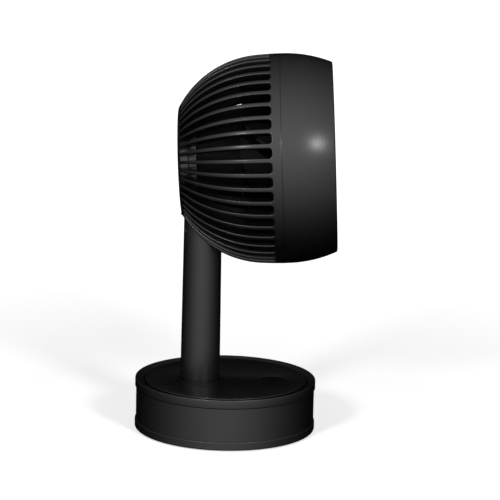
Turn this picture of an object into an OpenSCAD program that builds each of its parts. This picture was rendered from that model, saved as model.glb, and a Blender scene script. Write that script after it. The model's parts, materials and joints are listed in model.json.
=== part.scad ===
/* [Base] */
// Diameter of the base over its two rings
base_d = 170; // [168:1:190]
// Height of the base from the table to the edge of its rim
base_h = 48.5; // [48.5:0.5:60]
// Height of the foot ring
foot_ring_h = 8; // [7:0.5:9]
// Height of the top ring
top_ring_h = 8; // [7.5:0.25:9]
// How far both rings stand out from the housing between them
ring_step = 1; // [0.5:0.1:1.5]
// Moulded wall of the base
base_wall = 2.4; // [2:0.1:3]
// Thickness of the foot cover's plate
foot_plate_t = 2.6; // [2.2:0.1:3]
// Thickness of the deck that the turntable turns on
deck_t = 2.5; // [2:0.1:3]
// Rounding of the foot ring's bottom edge
foot_round = 1.5; // [1:0.1:2]
// Rounding of the top ring's upper edge
rim_round = 1.2; // [0.8:0.1:1.6]
// Width of the sloping rim between the top ring's edge and the groove
rim_w = 8; // [7:0.5:9]
// Fall of the rim from its edge down to the groove
rim_fall = 2.3; // [1:0.1:2.5]
// Width of the groove round the top plate
groove_w = 1; // [0.6:0.1:1.4]

/* [Top plate] */
// Depth of the top plate's face below the rim's edge
plate_drop = 0.7; // [0.2:0.1:1]
// Thickness of the top plate
plate_t = 2.2; // [2:0.1:2.4]
// Width of the bevel round the top plate
plate_bevel_w = 1; // [0.5:0.1:1.4]
// Height of the bevel round the top plate
plate_bevel_h = 1.5; // [0.8:0.1:1.8]
// Width of the skirt that the top plate stands on
skirt_w = 2.2; // [1.6:0.1:2.6]
// Width of the ledge inside the top ring
ledge_w = 11; // [10:0.5:13]
// Thickness of the ledge inside the top ring
ledge_t = 2.5; // [2:0.1:2.8]

/* [Feet and ballast] */
// Diameter of each rubber foot
pad_d = 16; // [12:1:18]
// Diameter of the middle rubber foot
centre_pad_d = 24; // [16:1:40]
// Thickness of the rubber feet
pad_h = 2.2; // [1.8:0.1:2.6]
// How far the feet stand out below the foot ring
pad_out = 1; // [0.6:0.1:1.5]
// Diameter of the circle that the rubber feet stand on
pad_ring_d = 130; // [110:1:140]
// Number of rubber feet on that circle
pad_count = 4; // [3:1:6]
// Diameter of the steel ballast plate
ballast_d = 88; // [60:1:90]
// Thickness of the steel ballast plate
ballast_t = 8; // [3:0.5:9]
// Diameter of the hole in the middle of the ballast plate
ballast_hole_d = 14; // [12:1:24]

/* [Turntable] */
// Thickness of the turntable's flange
flange_t = 2.5; // [2:0.1:3]
// Wall of the turntable's cup
cup_wall = 2.5; // [2:0.1:3]
// Depth of the cup below the top of the flange
cup_depth = 16.5; // [14:0.5:17]
// Thickness of the cup's floor
cup_floor_t = 3; // [2.5:0.1:3.5]
// Height of the collar that the pole stands in
collar_h = 11; // [6:0.5:12]
// Wall of the collar that the pole stands in
collar_wall = 3.6; // [3:0.1:4]
// Width of the glide ring under the turntable
glide_w = 6; // [4:0.5:8]
// Height of the glide ring under the turntable
glide_h = 2.4; // [2:0.1:3]
// Diameter of the cable way through the turntable
cable_way_d = 10; // [8:0.5:12]

/* [Swivel drive] */
// Tooth size of the gears
gear_module = 1.5; // [1.5:0.25:1.75]
// Height of the gears
gear_h = 5.6; // [4:0.1:6]
// Number of teeth on the pinion
pinion_teeth = 12; // [12:1:13]
// Pressure angle of the gears
pressure_angle = 25; // [24:0.5:27]
// Play between meshing teeth
backlash = 0.2; // [0.15:0.01:0.3]
// Radial width of the driven gear inside its teeth
gear_band_w = 9; // [8:0.5:10]
// Diameter of the swivel motor
swivel_motor_d = 24; // [20:1:25]
// Height of the swivel motor
swivel_motor_h = 12.6; // [10:0.1:13]
// Distance from the swivel motor's middle to its shaft
shaft_offset = 6; // [4:0.5:7]
// Diameter of the swivel motor's shaft
swivel_shaft_d = 5; // [4:0.5:6]
// Direction of the swivel motor from the middle of the base
motor_angle = 180; // [170:1:190]

/* [Pole] */
// Diameter of the pole at its foot
pole_foot_d = 37.5; // [34:0.1:38]
// Diameter of the pole at its top
pole_top_d = 35.3; // [33:0.1:37]
// Wall of the pole
pole_wall = 2.2; // [1.8:0.1:2.6]
// Distance of the pole behind the middle of the base
pole_back = 24; // [22:0.5:25]
// Height of the pole's top above the table
pole_top_z = 200; // [190:1:203]
// Thickness of the floor inside the pole's foot
pole_floor_t = 5; // [4:0.5:7]

/* [Tilt joint] */
// Height of the tilt axle above the table
pivot_z = 254.6; // [252:0.1:262]
// Upward tilt of the head at rest
rest_tilt = 3.25; // [0:0.25:8]
// Width of the knuckle's neck along the axle
neck_w = 24; // [20:1:25]
// Thickness of the knuckle's neck from front to back
neck_t = 16; // [12:1:17]
// Diameter of the knuckle's eye
eye_d = 22; // [18:1:23]
// Height of the shoulder on top of the pole
shoulder_h = 2.5; // [2:0.1:3.5]
// Depth of the knuckle's plug in the pole
plug_h = 20; // [14:1:30]
// Diameter of the tilt axle
axle_d = 8; // [6:0.5:9]
// Thickness of the bracket's ears and base
bracket_t = 4; // [3:0.25:4.5]
// Height of the bracket's base
bracket_h = 28; // [24:1:30]
// Width of the bracket's ears
ear_w = 18; // [14:1:20]
// Thickness of each friction washer
washer_t = 1.25; // [1:0.05:1.5]

/* [Head] */
// Greatest diameter of the head
head_d = 194; // [188:1:204]
// Depth of the head from rear to front
head_depth = 142.8; // [139:0.1:150]
// Radius of the cage's curve near the seam
crown_r = 310; // [280:5:400]
// Radius of the curve of the cage's shoulder
shoulder_r = 90; // [88:0.5:94]
// Radius of the front shell's curve
front_bend_r = 116; // [114:1:130]
// Distance of the seam from the rear of the head
seam_s = 95; // [94:0.5:98]
// Distance of the tilt axle from the rear of the head
pivot_s = 21.8; // [21.5:0.1:22.5]
// Moulded wall of the head
head_wall = 2.4; // [2:0.1:2.8]

/* [Rear grille] */
// Number of ribs in the cage
rib_count = 46; // [42:4:50]
// Width of a rib at the band
rib_outer_w = 4.1; // [3:0.1:4.6]
// Width of a rib at the hub
rib_inner_w = 2.6; // [2:0.1:3]
// Depth of the ribs
rib_depth = 9; // [7:0.5:9.5]
// Width of the plain band between the slots and the seam
band_w = 8.7; // [7:0.1:10]
// Thickness of the ring that joins the ribs behind the band
band_ring_t = 2.5; // [2:0.1:3.5]
// Thickness of the thin rim that joins the ribs at the rear
rear_rim_t = 1.3; // [0.8:0.1:2]
// Rounding of the slots' ends
slot_round = 3; // [2:0.1:3.4]
// Width of the slot that the pole passes through
pole_slot_w = 40.4; // [39.5:0.1:42]
// Width of the rails along that slot
rail_w = 3; // [2.5:0.1:3.5]
// Depth of the hub below the rear of the cage
hub_inset = 5.2; // [4.5:0.1:5.6]
// Wall of the hub ring
hub_ring_t = 3.2; // [2.5:0.1:3.6]
// Length of the hub ring
hub_ring_h = 12; // [10:0.5:13]
// Width of the flange inside the hub ring
hub_flange_w = 8.8; // [8:0.1:9.5]
// Thickness of the flange inside the hub ring
hub_flange_t = 2.6; // [2.4:0.1:3]
// Thickness of the pod's cap
cap_t = 2.2; // [1.8:0.1:2.4]

/* [Motor pod] */
// Diameter of the motor pod
pod_d = 86; // [84:0.5:88]
// Wall of the motor pod
pod_wall = 2.4; // [2:0.1:3]
// Distance of the pod's front edge from the rear of the head
pod_front_s = 61.5; // [60.5:0.5:62]
// Distance of the pod's bulkhead from the rear of the head
bulkhead_s = 39.8; // [39.6:0.1:40.5]
// Thickness of the pod's bulkhead
bulkhead_t = 3; // [2.5:0.1:3.4]
// Width of the slot that the neck passes through
neck_slot_w = 28; // [27.5:0.5:30]
// Distance from the head's axis to the end of the cap's slot
cap_slot_end = 7; // [5:0.5:7.4]

/* [Motor] */
// Outer diameter of the ball bearings
bearing_d = 16; // [14:0.5:16]
// Width of the ball bearings
bearing_w = 5; // [4:0.25:5]
// Diameter of the motor shaft
shaft_d = 5; // [4:0.25:6]
// Diameter of the stator
stator_d = 52; // [46:1:54]
// Height of the stator's core
stator_h = 9; // [6:0.5:10]
// Number of stator poles
stator_poles = 9; // [6:3:12]
// Outer diameter of the rotor cup
rotor_d = 60; // [58:0.5:64]
// Wall of the rotor cup
rotor_wall = 1.6; // [1.2:0.1:2]
// Length of the rotor cup inside the pod
rotor_h = 16; // [15:0.5:17]
// Thickness of the circuit boards
board_t = 1.2; // [1:0.1:1.6]

/* [Impeller] */
// Running gap between the blades' tips and the air duct
impeller_gap = 2; // [1.5:0.1:8]
// Diameter of the impeller's hub
impeller_hub_d = 94; // [92:0.5:100]
// Depth of the hub from its face on the rotor to its rounded front
hub_depth = 34; // [26:1:36]
// How far the hub's skirt laps over the motor pod
skirt_lap = 4.5; // [0:0.5:6]
// Number of blades
blade_count = 7; // [5:1:9]
// Thickness of a blade
blade_t = 2.4; // [2:0.1:3]
// Length of a blade along the head's axis
blade_depth = 44; // [36:1:46]
// Distance from the hub's rear edge to the blades
blade_setback = 1; // [0.5:0.5:4]
// Sweep of a blade round the axis
blade_sweep = 40; // [34:1:44]
// Radius of a blade's curve
blade_bend_r = 55; // [48:1:80]
// Wall of the impeller's hub
impeller_wall = 2.2; // [1.8:0.1:2.6]

/* [Front] */
// Distance from the head's widest edge in to the bore of the air duct
duct_inset = 13; // [12.5:0.25:13.5]
// Wall of the air duct
duct_wall = 2; // [1.6:0.1:2.2]
// Depth of the front grille below the front edge
grille_inset = 3; // [2:0.25:4]
// Depth of the front grille's ribs
grille_depth = 6; // [4:0.25:8]
// Number of ribs in the front grille
front_rib_count = 46; // [36:1:50]
// Width of the front grille's ribs
front_rib_w = 1.7; // [1.4:0.1:2]
// Radius of the curve of the front grille's ribs
front_rib_r = 62; // [58:1:80]
// Diameter of the front grille's centre
grille_hub_d = 52; // [44:1:60]

/* [Button and inlet] */
// Diameter of the power button
button_d = 21; // [18:0.5:23]
// Distance of the power button in front of the middle of the base
button_front = 45; // [42:0.5:47]
// Travel of the power button
button_travel = 0.8; // [0.5:0.05:0.8]
// Thickness of the power button's rim
button_rim_t = 0.7; // [0.5:0.05:0.8]
// Bore of the power inlet
inlet_bore_d = 6; // [5.6:0.1:6.4]
// Diameter of the contact pin in the power inlet
inlet_pin_d = 2; // [1.8:0.1:2.4]
// Depth of the power inlet's bore
inlet_depth = 9.5; // [8:0.5:11]
// Outer diameter of the power inlet
inlet_d = 11; // [10:0.5:12]

/* [Fasteners and fits] */
// Diameter of the large screws
screw_d = 3; // [2.5:0.1:3.2]
// Diameter of the small screws
small_screw_d = 2; // [1.6:0.1:2.2]
// Clearance round a part that only sits in its place
seat_gap = 0.1; // [0.05:0.01:0.2]
// Radial clearance of turning and sliding fits
run_gap = 0.06; // [0.04:0.01:0.09]
// Open gap between visible parts that move apart
open_gap = 0.6; // [0.4:0.05:1]

/* [Hidden] */
$fn = 96;

// One overrun for every cut
over = 1;

// Levels and radii of the base
base_r = base_d / 2;
housing_r = base_r - ring_step;
housing_in_r = housing_r - base_wall;
foot_z = pad_out;
foot_plate_z = foot_z + foot_plate_t;
foot_top_z = foot_z + foot_ring_h;
ledge_z = base_h - top_ring_h;
housing_top_z = ledge_z - open_gap;
flange_z = ledge_z - flange_t;
glide_z = flange_z - glide_h - seat_gap;
deck_z = glide_z - deck_t;
plate_z = base_h - plate_drop;
plate_under_z = plate_z - plate_t;
groove_r = base_r - rim_w;
plate_r = groove_r - groove_w;
ledge_r = groove_r - ledge_w;
flange_r = groove_r + groove_w + groove_w;

// The pole and the cup that carries it
pole_foot_r = pole_foot_d / 2;
pole_top_r = pole_top_d / 2;
cup_z = ledge_z - cup_depth;
cup_in_r = pole_back + pole_foot_r + collar_wall;
cup_r = cup_in_r + cup_wall;
pole_z = cup_z + cup_floor_t;
pole_length = pole_top_z - pole_z;
collar_in_r = pole_foot_r + seat_gap;
pole_screw_r = pole_foot_r - pole_wall - screw_d - seat_gap;
pole_screw_angles = [45, 135, 225, 315];
function pole_r(z) = pole_foot_r + (pole_top_r - pole_foot_r) * (z - pole_z) / pole_length;

// The swivel drive
gear_tip_share = 0.95;
gear_root_share = 1.25;
gear_catch = 2;
gear_teeth = 2 * ceil((cup_r + gear_catch) / gear_module);
gear_r = gear_teeth * gear_module / 2;
pinion_r = pinion_teeth * gear_module / 2;
gear_z = cup_z - gear_h;
gear_in_r = gear_r - gear_root_share * gear_module - gear_band_w;
drive_r = gear_r + pinion_r;
swivel_motor_top = gear_z - open_gap - open_gap;
swivel_motor_z = swivel_motor_top - swivel_motor_h;
motor_ear_d = 6.4;
motor_ear_t = 1.2;
motor_ear_reach = swivel_motor_d / 2 + motor_ear_d / 2;
motor_post_z = swivel_motor_top - motor_ear_t;
gear_screw_r = gear_in_r + screw_d + seat_gap;
gear_screw_angles = [0, 90, 180, 270];

// Screw posts and other places in the base
post_r = 4;
post_ring_r = housing_in_r - post_r - base_wall - base_wall;
post_angles = [45, 135, 225, 315];
lip_h = 3;
glide_in_r = cup_r + post_r + post_r;
ballast_screw_ring_r = ballast_d / 2 - post_r - post_r;
ballast_screw_angles = [30, 150, 270];
board_w = 22;
board_l = 40;
board_corner_r = housing_in_r - base_wall - over;
board_back_r = sqrt(pow(board_corner_r, 2) - pow(board_l / 2, 2)) - board_w;
board_post_d = 5;
board_post_h = 2;
board_z = foot_plate_z + board_post_h;
chip_w = 7;
chip_l = 12;
chip_h = 3;
inlet_z = (foot_top_z + deck_z) / 2;
inlet_shoulder_d = inlet_d + base_wall;
inlet_shoulder_t = 2;
inlet_back_t = 3;

// The button on the top plate
button_r = button_d / 2;
button_out = 0.1;
button_gap = 0.25;
button_rim_w = 1.5;
button_crown = 0.6;
button_rim_top_z = plate_under_z - 2 * seat_gap;
button_rim_z = button_rim_top_z - button_rim_t;
button_board_w = 30;
button_board_l = 22;
standoff_h = 0.6;
button_board_z = ledge_z + standoff_h;
switch_w = 6;
switch_top_z = button_rim_z - button_travel - seat_gap;
switch_z = button_board_z + board_t;
plunger_d = 3.3;
plunger_h = 1.3;

// Shape of the head: dome_r(s, inset) is its radius at the distance s from its rear.
// The shoulder's arc runs into the crown's arc at shoulder_s.
head_r = head_d / 2;
shoulder_s_share = 0.758;
front_flat = 2;
shoulder_s = seam_s * shoulder_s_share;
front_bend_s = seam_s + front_flat;
crown_x = head_r - crown_r;
join_x = crown_x + sqrt(pow(crown_r, 2) - pow(seam_s - shoulder_s, 2));
shoulder_x = join_x - shoulder_r * (join_x - crown_x) / crown_r;
shoulder_y = shoulder_s + shoulder_r * (seam_s - shoulder_s) / crown_r;
function join_s(inset) = shoulder_s + inset * (seam_s - shoulder_s) / crown_r;
function arc_x(x, y, r, s) = x + sqrt(pow(r, 2) - pow(s - y, 2));
function dome_r(s, inset) =
    s <= join_s(inset) ? arc_x(shoulder_x, shoulder_y, shoulder_r - inset, s)
    : s <= seam_s ? arc_x(crown_x, seam_s, crown_r - inset, s)
    : s <= front_bend_s ? head_r - inset
    : arc_x(head_r - front_bend_r, front_bend_s, front_bend_r - inset, s);
function even(from, to, steps) = [for (i = [0 : steps]) from + (to - from) * i / steps];
function reversed(list) = [for (i = [len(list) - 1 : -1 : 0]) list[i]];

// Screw sizes
screw_r = screw_d / 2;
small_screw_r = small_screw_d / 2;
screw_head_share = 0.95;
screw_head_h_share = 0.55;
socket_share = 0.5;

// Places along the head's axis
shell_gap = 0.3;
band_s = seam_s - band_w;
band_r = dome_r(band_s, 0);
hub_s = hub_inset;
pod_r = pod_d / 2;
pod_in_r = pod_r - pod_wall;
hub_in_r = pod_r + shell_gap;
hub_r = hub_in_r + hub_ring_t;
cap_r = pod_r;
hub_flange_s = hub_s + cap_t;
pod_s = hub_flange_s + hub_flange_t;
slot_half = pole_slot_w / 2;
rib_step = 360 / rib_count;
slots_in_r = hub_r + over;
tongue_h = 4;
tab_t = 2;
tab_w = 8;
tab_s = seam_s + over;
duct_d = head_d - 2 * duct_inset;
duct_r = duct_d / 2;
duct_out_r = duct_r + duct_wall;
tab_in_r = duct_out_r + over;
boss_r = 3.4;
tongue_r = head_r - head_wall - seat_gap;
tongue_in_r = tongue_r - head_wall + over;
boss_ring_r = tongue_in_r - seat_gap - screw_head_share * screw_d;
boss_angles = [30, 90, 150, 210, 270, 330];
ear_s = tab_s + tab_t;
boss_s = ear_s + tab_t;
boss_h = head_depth / 5;
lip_t = 2.4;
lip_s = head_depth - lip_t;
grille_front_s = head_depth - grille_inset;
grille_s = grille_front_s - grille_depth;
duct_end_s = lip_s;
duct_mouth = 4;
duct_s = seam_s - duct_wall;
duct_step = 2;

// Places of the tilt joint
pivot_r = axle_d / 2;
ear_in = neck_w / 2 + washer_t + seat_gap;
ear_out = ear_in + bracket_t;
bracket_s = bulkhead_s - bracket_t;
bracket_half = ear_out + bracket_t + bracket_t;
bracket_screw_x = (ear_out + bracket_half) / 2;
bracket_screw_y = bracket_h / 2 - bracket_t;
nut_t = 4;
nut_d = 13;
axle_head_d = 13;
axle_head_t = 3;
knuckle_bore_r = pivot_r + run_gap;
plug_r = pole_top_r - pole_wall - seat_gap;
knuckle_screw_z = pole_top_z - plug_h / 2;
knuckle_screw_angles = [65, 115];
knuckle_screw_l = 6;

// Places of the motor
shaft_r = shaft_d / 2;
bearing_r = bearing_d / 2;
tube_r = bearing_r + 3;
tube_rear_s = bulkhead_s;
bearing_rear_s = tube_rear_s + over;
tube_front_s = pod_front_s - 3.5 * over;
bearing_front_s = tube_front_s - bearing_w;
rotor_r = rotor_d / 2;
rotor_s = pod_front_s - rotor_h;
rotor_front_s = pod_front_s + over / 2;
rotor_hub_r = 6;
magnet_t = 1.5;
stator_s = rotor_s + over;
stator_ring_t = 4;
tooth_w = 4;
shoe_t = 2;
board_s = bulkhead_s + bulkhead_t + over;
pod_boss_r = 3.4;
pod_boss_ring_r = pod_in_r - pod_boss_r + over;
pod_boss_h = 10;
pod_boss_angles = [45, 135, 225, 315];

// Places of the impeller
impeller_hub_r = impeller_hub_d / 2;
impeller_d = duct_d - 2 * impeller_gap;
impeller_r = impeller_d / 2;
hub_rear_s = rotor_front_s + 2 * over;
hub_skirt_s = pod_front_s - skirt_lap;
hub_shoulder_s = hub_rear_s + hub_depth;
nose_h = 12;
impeller_front_s = hub_shoulder_s + nose_h;
blade_s = hub_skirt_s + blade_setback;
boss_core_r = 7;
nut_r = 9;
nut_h = 6;
shaft_rear_s = tube_rear_s + over / 2;
shaft_front_s = impeller_front_s + nut_h / 2;

// Colours
satin_black = [0.055, 0.055, 0.06];
soft_black = [0.035, 0.035, 0.04];
rubber_black = [0.03, 0.03, 0.03];
steel_grey = [0.62, 0.63, 0.65];
zinc_grey = [0.5, 0.51, 0.53];
acetal_white = [0.86, 0.86, 0.82];
board_green = [0.05, 0.28, 0.16];
copper_red = [0.72, 0.4, 0.22];
brass_yellow = [0.8, 0.62, 0.3];

// A screw along z: its head stands above z = 0 and its shank goes down
module screw(r, length) {
    head_r = 2 * r * screw_head_share;
    head_h = 2 * r * screw_head_h_share;
    difference() {
        union() {
            cylinder(h = head_h, r = head_r);
            translate([0, 0, -length]) cylinder(h = length + head_h / 2, r = r);
        }
        translate([0, 0, head_h / 2]) cylinder(h = head_h, r = head_r * socket_share, $fn = 6);
    }
}

// A counterbored hole for that screw, opening upwards
module screw_hole(r, depth, sink) {
    translate([0, 0, -depth]) cylinder(h = depth + over, r = r + seat_gap);
    translate([0, 0, -sink]) cylinder(h = sink + over, r = 2 * r * screw_head_share + seat_gap);
}

// Children at the given angles on a circle about z
module around(angles, ring_r) {
    for (angle = angles) rotate([0, 0, angle]) translate([ring_r, 0, 0]) children();
}

// A ring or tube along z
module tube(h, outer, inner) {
    difference() {
        cylinder(h = h, r = outer);
        translate([0, 0, -over]) cylinder(h = h + 2 * over, r = inner);
    }
}

// Places children that are drawn along the head's axis: z runs forward from the
// rear of the head, y points up and x to the side
module place_head() {
    translate([0, pole_back, pivot_z])
        rotate([-rest_tilt, 0, 0])
            rotate([90, 0, 0])
                translate([0, 0, -pivot_s]) children();
}

// Right-hand corner of a section, rounded by r, as the piece to cut away
module corner_cut(x, y, r, up) {
    side = up ? 1 : -1;
    difference() {
        translate([x - r, up ? y - r : y - over]) square([r + over, r + over]);
        translate([x - r, y - side * r]) circle(r = r);
    }
}

// Involute gear outline with its first tooth on +x
function involute(a) = tan(a) * 180 / PI - a;
function tooth_half(r, base, half) = half - involute(acos(min(1, base / r)));
module gear_outline(teeth) {
    pitch_r = teeth * gear_module / 2;
    base = pitch_r * cos(pressure_angle);
    tip = pitch_r + gear_tip_share * gear_module;
    root = pitch_r - gear_root_share * gear_module;
    start = max(root, base);
    half = 90 / teeth - backlash / 4 / pitch_r * 180 / PI + involute(pressure_angle);
    flank = concat(root < base ? [root] : [], even(start, tip, 4));
    polygon([for (i = [0 : teeth - 1])
        for (side = [-1, 1])
            for (r = side < 0 ? flank : reversed(flank))
                let (a = i * 360 / teeth + side * tooth_half(max(r, base), base, half))
                    [r * cos(a), r * sin(a)]]);
}

// Foot cover: bottom plate, lower ring and the posts inside it
module foot_cover() {
    color(satin_black) difference() {
        union() {
            rotate_extrude() difference() {
                translate([housing_in_r, foot_z]) square([base_r - housing_in_r, foot_ring_h]);
                corner_cut(base_r, foot_z, foot_round, false);
                corner_cut(base_r, foot_top_z, ring_step, true);
            }
            translate([0, 0, foot_z]) cylinder(h = foot_plate_t, r = housing_in_r + over / 2);
            translate([0, 0, foot_z])
                tube(foot_ring_h + lip_h, housing_in_r - seat_gap, housing_in_r - base_wall);
            swivel_motor_posts() cylinder(h = motor_post_z - foot_z, r = motor_ear_d / 2);
            board_posts() cylinder(h = board_z - foot_z, r = board_post_d / 2);
        }
        feet_places() translate([0, 0, foot_z - over])
            cylinder(h = pad_h - pad_out + over, r = pad_d / 2 + seat_gap);
        translate([0, 0, foot_z - over])
            cylinder(h = pad_h - pad_out + over, r = centre_pad_d / 2 + seat_gap);
        around(post_angles, post_ring_r) translate([0, 0, foot_z])
            mirror([0, 0, 1]) screw_hole(screw_r, foot_plate_t + over, foot_plate_t / 2);
        swivel_motor_posts() translate([0, 0, motor_post_z - foot_z])
            screw_hole(small_screw_r, foot_ring_h / 2, 0);
        board_posts() translate([0, 0, board_z - foot_z])
            screw_hole(small_screw_r, board_post_h, 0);
        around(ballast_screw_angles, ballast_screw_ring_r) translate([0, 0, foot_plate_z])
            screw_hole(screw_r, foot_plate_t / 2, 0);
        translate([0, housing_r, inlet_z]) rotate([90, 0, 0])
            cylinder(h = inlet_d * 2, r = inlet_shoulder_d / 2 + seat_gap);
    }
}

// Places of the rubber feet on their circle
module feet_places() {
    for (i = [0 : pad_count - 1]) rotate([0, 0, i * 360 / pad_count])
        translate([pad_ring_d / 2, 0, 0]) children();
}

// Rubber feet under the foot cover
module rubber_feet() {
    color(rubber_black) {
        feet_places() cylinder(h = pad_h, r = pad_d / 2);
        cylinder(h = pad_h, r = centre_pad_d / 2);
    }
}

// Screws that hold the foot cover to the housing
module cover_screws() {
    color(steel_grey) around(post_angles, post_ring_r)
        translate([0, 0, foot_z + foot_plate_t / 2]) mirror([0, 0, 1])
            screw(screw_r, foot_ring_h);
}

// Steel ballast plate on the foot cover
module ballast_plate() {
    color(zinc_grey) translate([0, 0, foot_plate_z]) difference() {
        tube(ballast_t, ballast_d / 2, ballast_hole_d / 2);
        around(ballast_screw_angles, ballast_screw_ring_r) translate([0, 0, ballast_t])
            screw_hole(screw_r, ballast_t + over, ballast_t / 3);
    }
}

// Screws that hold the ballast plate
module ballast_screws() {
    color(steel_grey) around(ballast_screw_angles, ballast_screw_ring_r)
        translate([0, 0, foot_plate_z + ballast_t * 2 / 3])
            screw(screw_r, ballast_t * 2 / 3 + foot_plate_t / 2 - seat_gap);
}

// Base housing: the wall between the rings and the deck under the turntable
module base_housing() {
    color(satin_black) difference() {
        union() {
            translate([0, 0, foot_top_z])
                tube(housing_top_z - foot_top_z, housing_r, housing_in_r);
            translate([0, 0, deck_z]) tube(deck_t, housing_in_r + over / 2, cup_r + run_gap);
            translate([0, 0, deck_z - deck_t])
                tube(2 * deck_t, cup_r + run_gap + base_wall, cup_r + run_gap);
            around(post_angles, post_ring_r) translate([0, 0, foot_plate_z])
                cylinder(h = deck_z - foot_plate_z + over, r = post_r);
        }
        around(post_angles, post_ring_r) translate([0, 0, foot_plate_z]) mirror([0, 0, 1])
            screw_hole(screw_r, foot_ring_h, 0);
        translate([0, housing_r + over, inlet_z]) rotate([90, 0, 0])
            cylinder(h = inlet_d, r = inlet_d / 2 + seat_gap);
    }
}

// Low-friction ring between the deck and the turntable
module glide_ring() {
    color(acetal_white) translate([0, 0, glide_z]) tube(glide_h, glide_in_r + glide_w, glide_in_r);
}

// Places children at the swivel motor's shaft, with x pointing away from the middle
module at_drive() {
    rotate([0, 0, motor_angle]) translate([drive_r, 0, 0]) children();
}

// Posts that carry the swivel motor by its two ears
module swivel_motor_posts() {
    at_drive() for (side = [-1, 1])
        translate([shaft_offset, side * motor_ear_reach, foot_z]) children();
}

// Swivel motor with two ears and its shaft
module swivel_motor() {
    color(steel_grey) at_drive() difference() {
        union() {
            translate([shaft_offset, 0, swivel_motor_z])
                cylinder(h = swivel_motor_h, r = swivel_motor_d / 2);
            translate([shaft_offset, 0, motor_post_z]) {
                for (side = [-1, 1]) translate([0, side * motor_ear_reach, 0])
                    cylinder(h = motor_ear_t, r = motor_ear_d / 2);
                translate([-motor_ear_d / 2, -motor_ear_reach, 0])
                    cube([motor_ear_d, 2 * motor_ear_reach, motor_ear_t]);
            }
            translate([0, 0, swivel_motor_z + over])
                cylinder(h = gear_z + gear_h - swivel_motor_z - over, r = swivel_shaft_d / 2);
        }
        for (side = [-1, 1])
            translate([shaft_offset, side * motor_ear_reach, swivel_motor_top])
                screw_hole(small_screw_r, motor_ear_t + over, 0);
    }
}

// Screws in the swivel motor's ears
module swivel_motor_screws() {
    color(steel_grey) swivel_motor_posts() translate([0, 0, swivel_motor_top - foot_z])
        screw(small_screw_r, foot_ring_h / 2);
}

// Places children at the control board's four posts
module board_posts() {
    for (x = [board_post_d / 2, board_w - board_post_d / 2])
        for (y = [-1, 1])
            translate([board_back_r + x, y * (board_l - board_post_d) / 2, foot_z]) children();
}

// Control board with its chip, regulator and connector
module control_board() {
    color(board_green) difference() {
        union() {
            translate([board_back_r, -board_l / 2, board_z]) cube([board_w, board_l, board_t]);
            translate([board_back_r + chip_w, -chip_l / 2, board_z + board_t / 2])
                cube([chip_w, chip_l, board_t + chip_h]);
            for (side = [-1, 1])
                translate([board_back_r + board_w / 2, side * chip_l, board_z + board_t / 2])
                    cylinder(h = chip_w, r = chip_h);
        }
        board_posts() translate([0, 0, board_z + board_t - foot_z])
            screw_hole(small_screw_r, board_t + over, 0);
    }
}

// Screws that hold the control board
module board_screws() {
    color(steel_grey) board_posts() translate([0, 0, board_z + board_t - foot_z])
        screw(small_screw_r, board_t + board_post_h - seat_gap);
}

// Places children at the power inlet's mouth, with z pointing into the base
module at_inlet() {
    translate([0, housing_r - ring_step / 2, inlet_z]) rotate([90, 0, 0]) children();
}

// Power inlet in the back of the housing
module power_inlet() {
    length = inlet_depth + inlet_back_t;
    shoulder_z = base_wall + inlet_shoulder_t / 2;
    color(soft_black) at_inlet() difference() {
        union() {
            cylinder(h = length, r = inlet_d / 2);
            translate([0, 0, shoulder_z]) cylinder(h = inlet_shoulder_t, r = inlet_shoulder_d / 2);
        }
        translate([0, 0, -over]) cylinder(h = inlet_depth + over, r = inlet_bore_d / 2);
        cylinder(h = length + over, r = inlet_pin_d / 2 + seat_gap / 2);
    }
}

// Contact pin in the middle of the power inlet
module inlet_contact() {
    color(brass_yellow) at_inlet() translate([0, 0, over])
        cylinder(h = inlet_depth + inlet_back_t, r = inlet_pin_d / 2);
}

// Pinion on the swivel motor's shaft
module swivel_pinion() {
    color(acetal_white) at_drive() translate([0, 0, gear_z + seat_gap]) difference() {
        rotate([0, 0, 180 + 180 / pinion_teeth])
            linear_extrude(height = gear_h - 2 * seat_gap) gear_outline(pinion_teeth);
        translate([0, 0, -over])
            cylinder(h = gear_h + 2 * over, r = swivel_shaft_d / 2 + run_gap);
    }
}

// Places of the pole's screws, about the pole's axis
module at_pole_screws() {
    translate([0, pole_back, 0]) around(pole_screw_angles, pole_screw_r) children();
}

// Turntable: flange, cup and the collar that the pole stands in
module turntable() {
    color(soft_black) difference() {
        union() {
            translate([0, 0, flange_z]) tube(flange_t, flange_r, cup_in_r);
            translate([0, 0, cup_z]) tube(cup_depth, cup_r, cup_in_r);
            translate([0, 0, cup_z]) cylinder(h = cup_floor_t, r = cup_in_r + over);
            intersection() {
                translate([0, pole_back, cup_z])
                    tube(cup_floor_t + collar_h, collar_in_r + collar_wall, collar_in_r);
                translate([0, 0, cup_z]) cylinder(h = cup_depth, r = cup_in_r + over);
            }
            button_standoffs() cylinder(h = flange_t + standoff_h, r = board_post_d / 2);
            intersection() {
                translate([-button_board_w / 2, -button_front - button_board_l / 2, flange_z])
                    cube([button_board_w, button_board_l, flange_t]);
                translate([0, 0, flange_z]) cylinder(h = flange_t, r = flange_r);
            }
        }
        at_pole_screws() translate([0, 0, cup_z]) mirror([0, 0, 1])
            screw_hole(screw_r, cup_floor_t + over, 0);
        translate([0, 0, cup_z - over])
            cylinder(h = cup_floor_t + 2 * over, r = cable_way_d / 2);
        around(gear_screw_angles, gear_screw_r) translate([0, 0, cup_z]) mirror([0, 0, 1])
            screw_hole(screw_r, cup_floor_t - over / 2, 0);
        around(post_angles, ring_screw_r()) translate([0, 0, ledge_z])
            screw_hole(small_screw_r, flange_t + over, 0);
        button_standoffs() translate([0, 0, flange_t + standoff_h])
            screw_hole(small_screw_r, flange_t + standoff_h + over, 0);
    }
}

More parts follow.
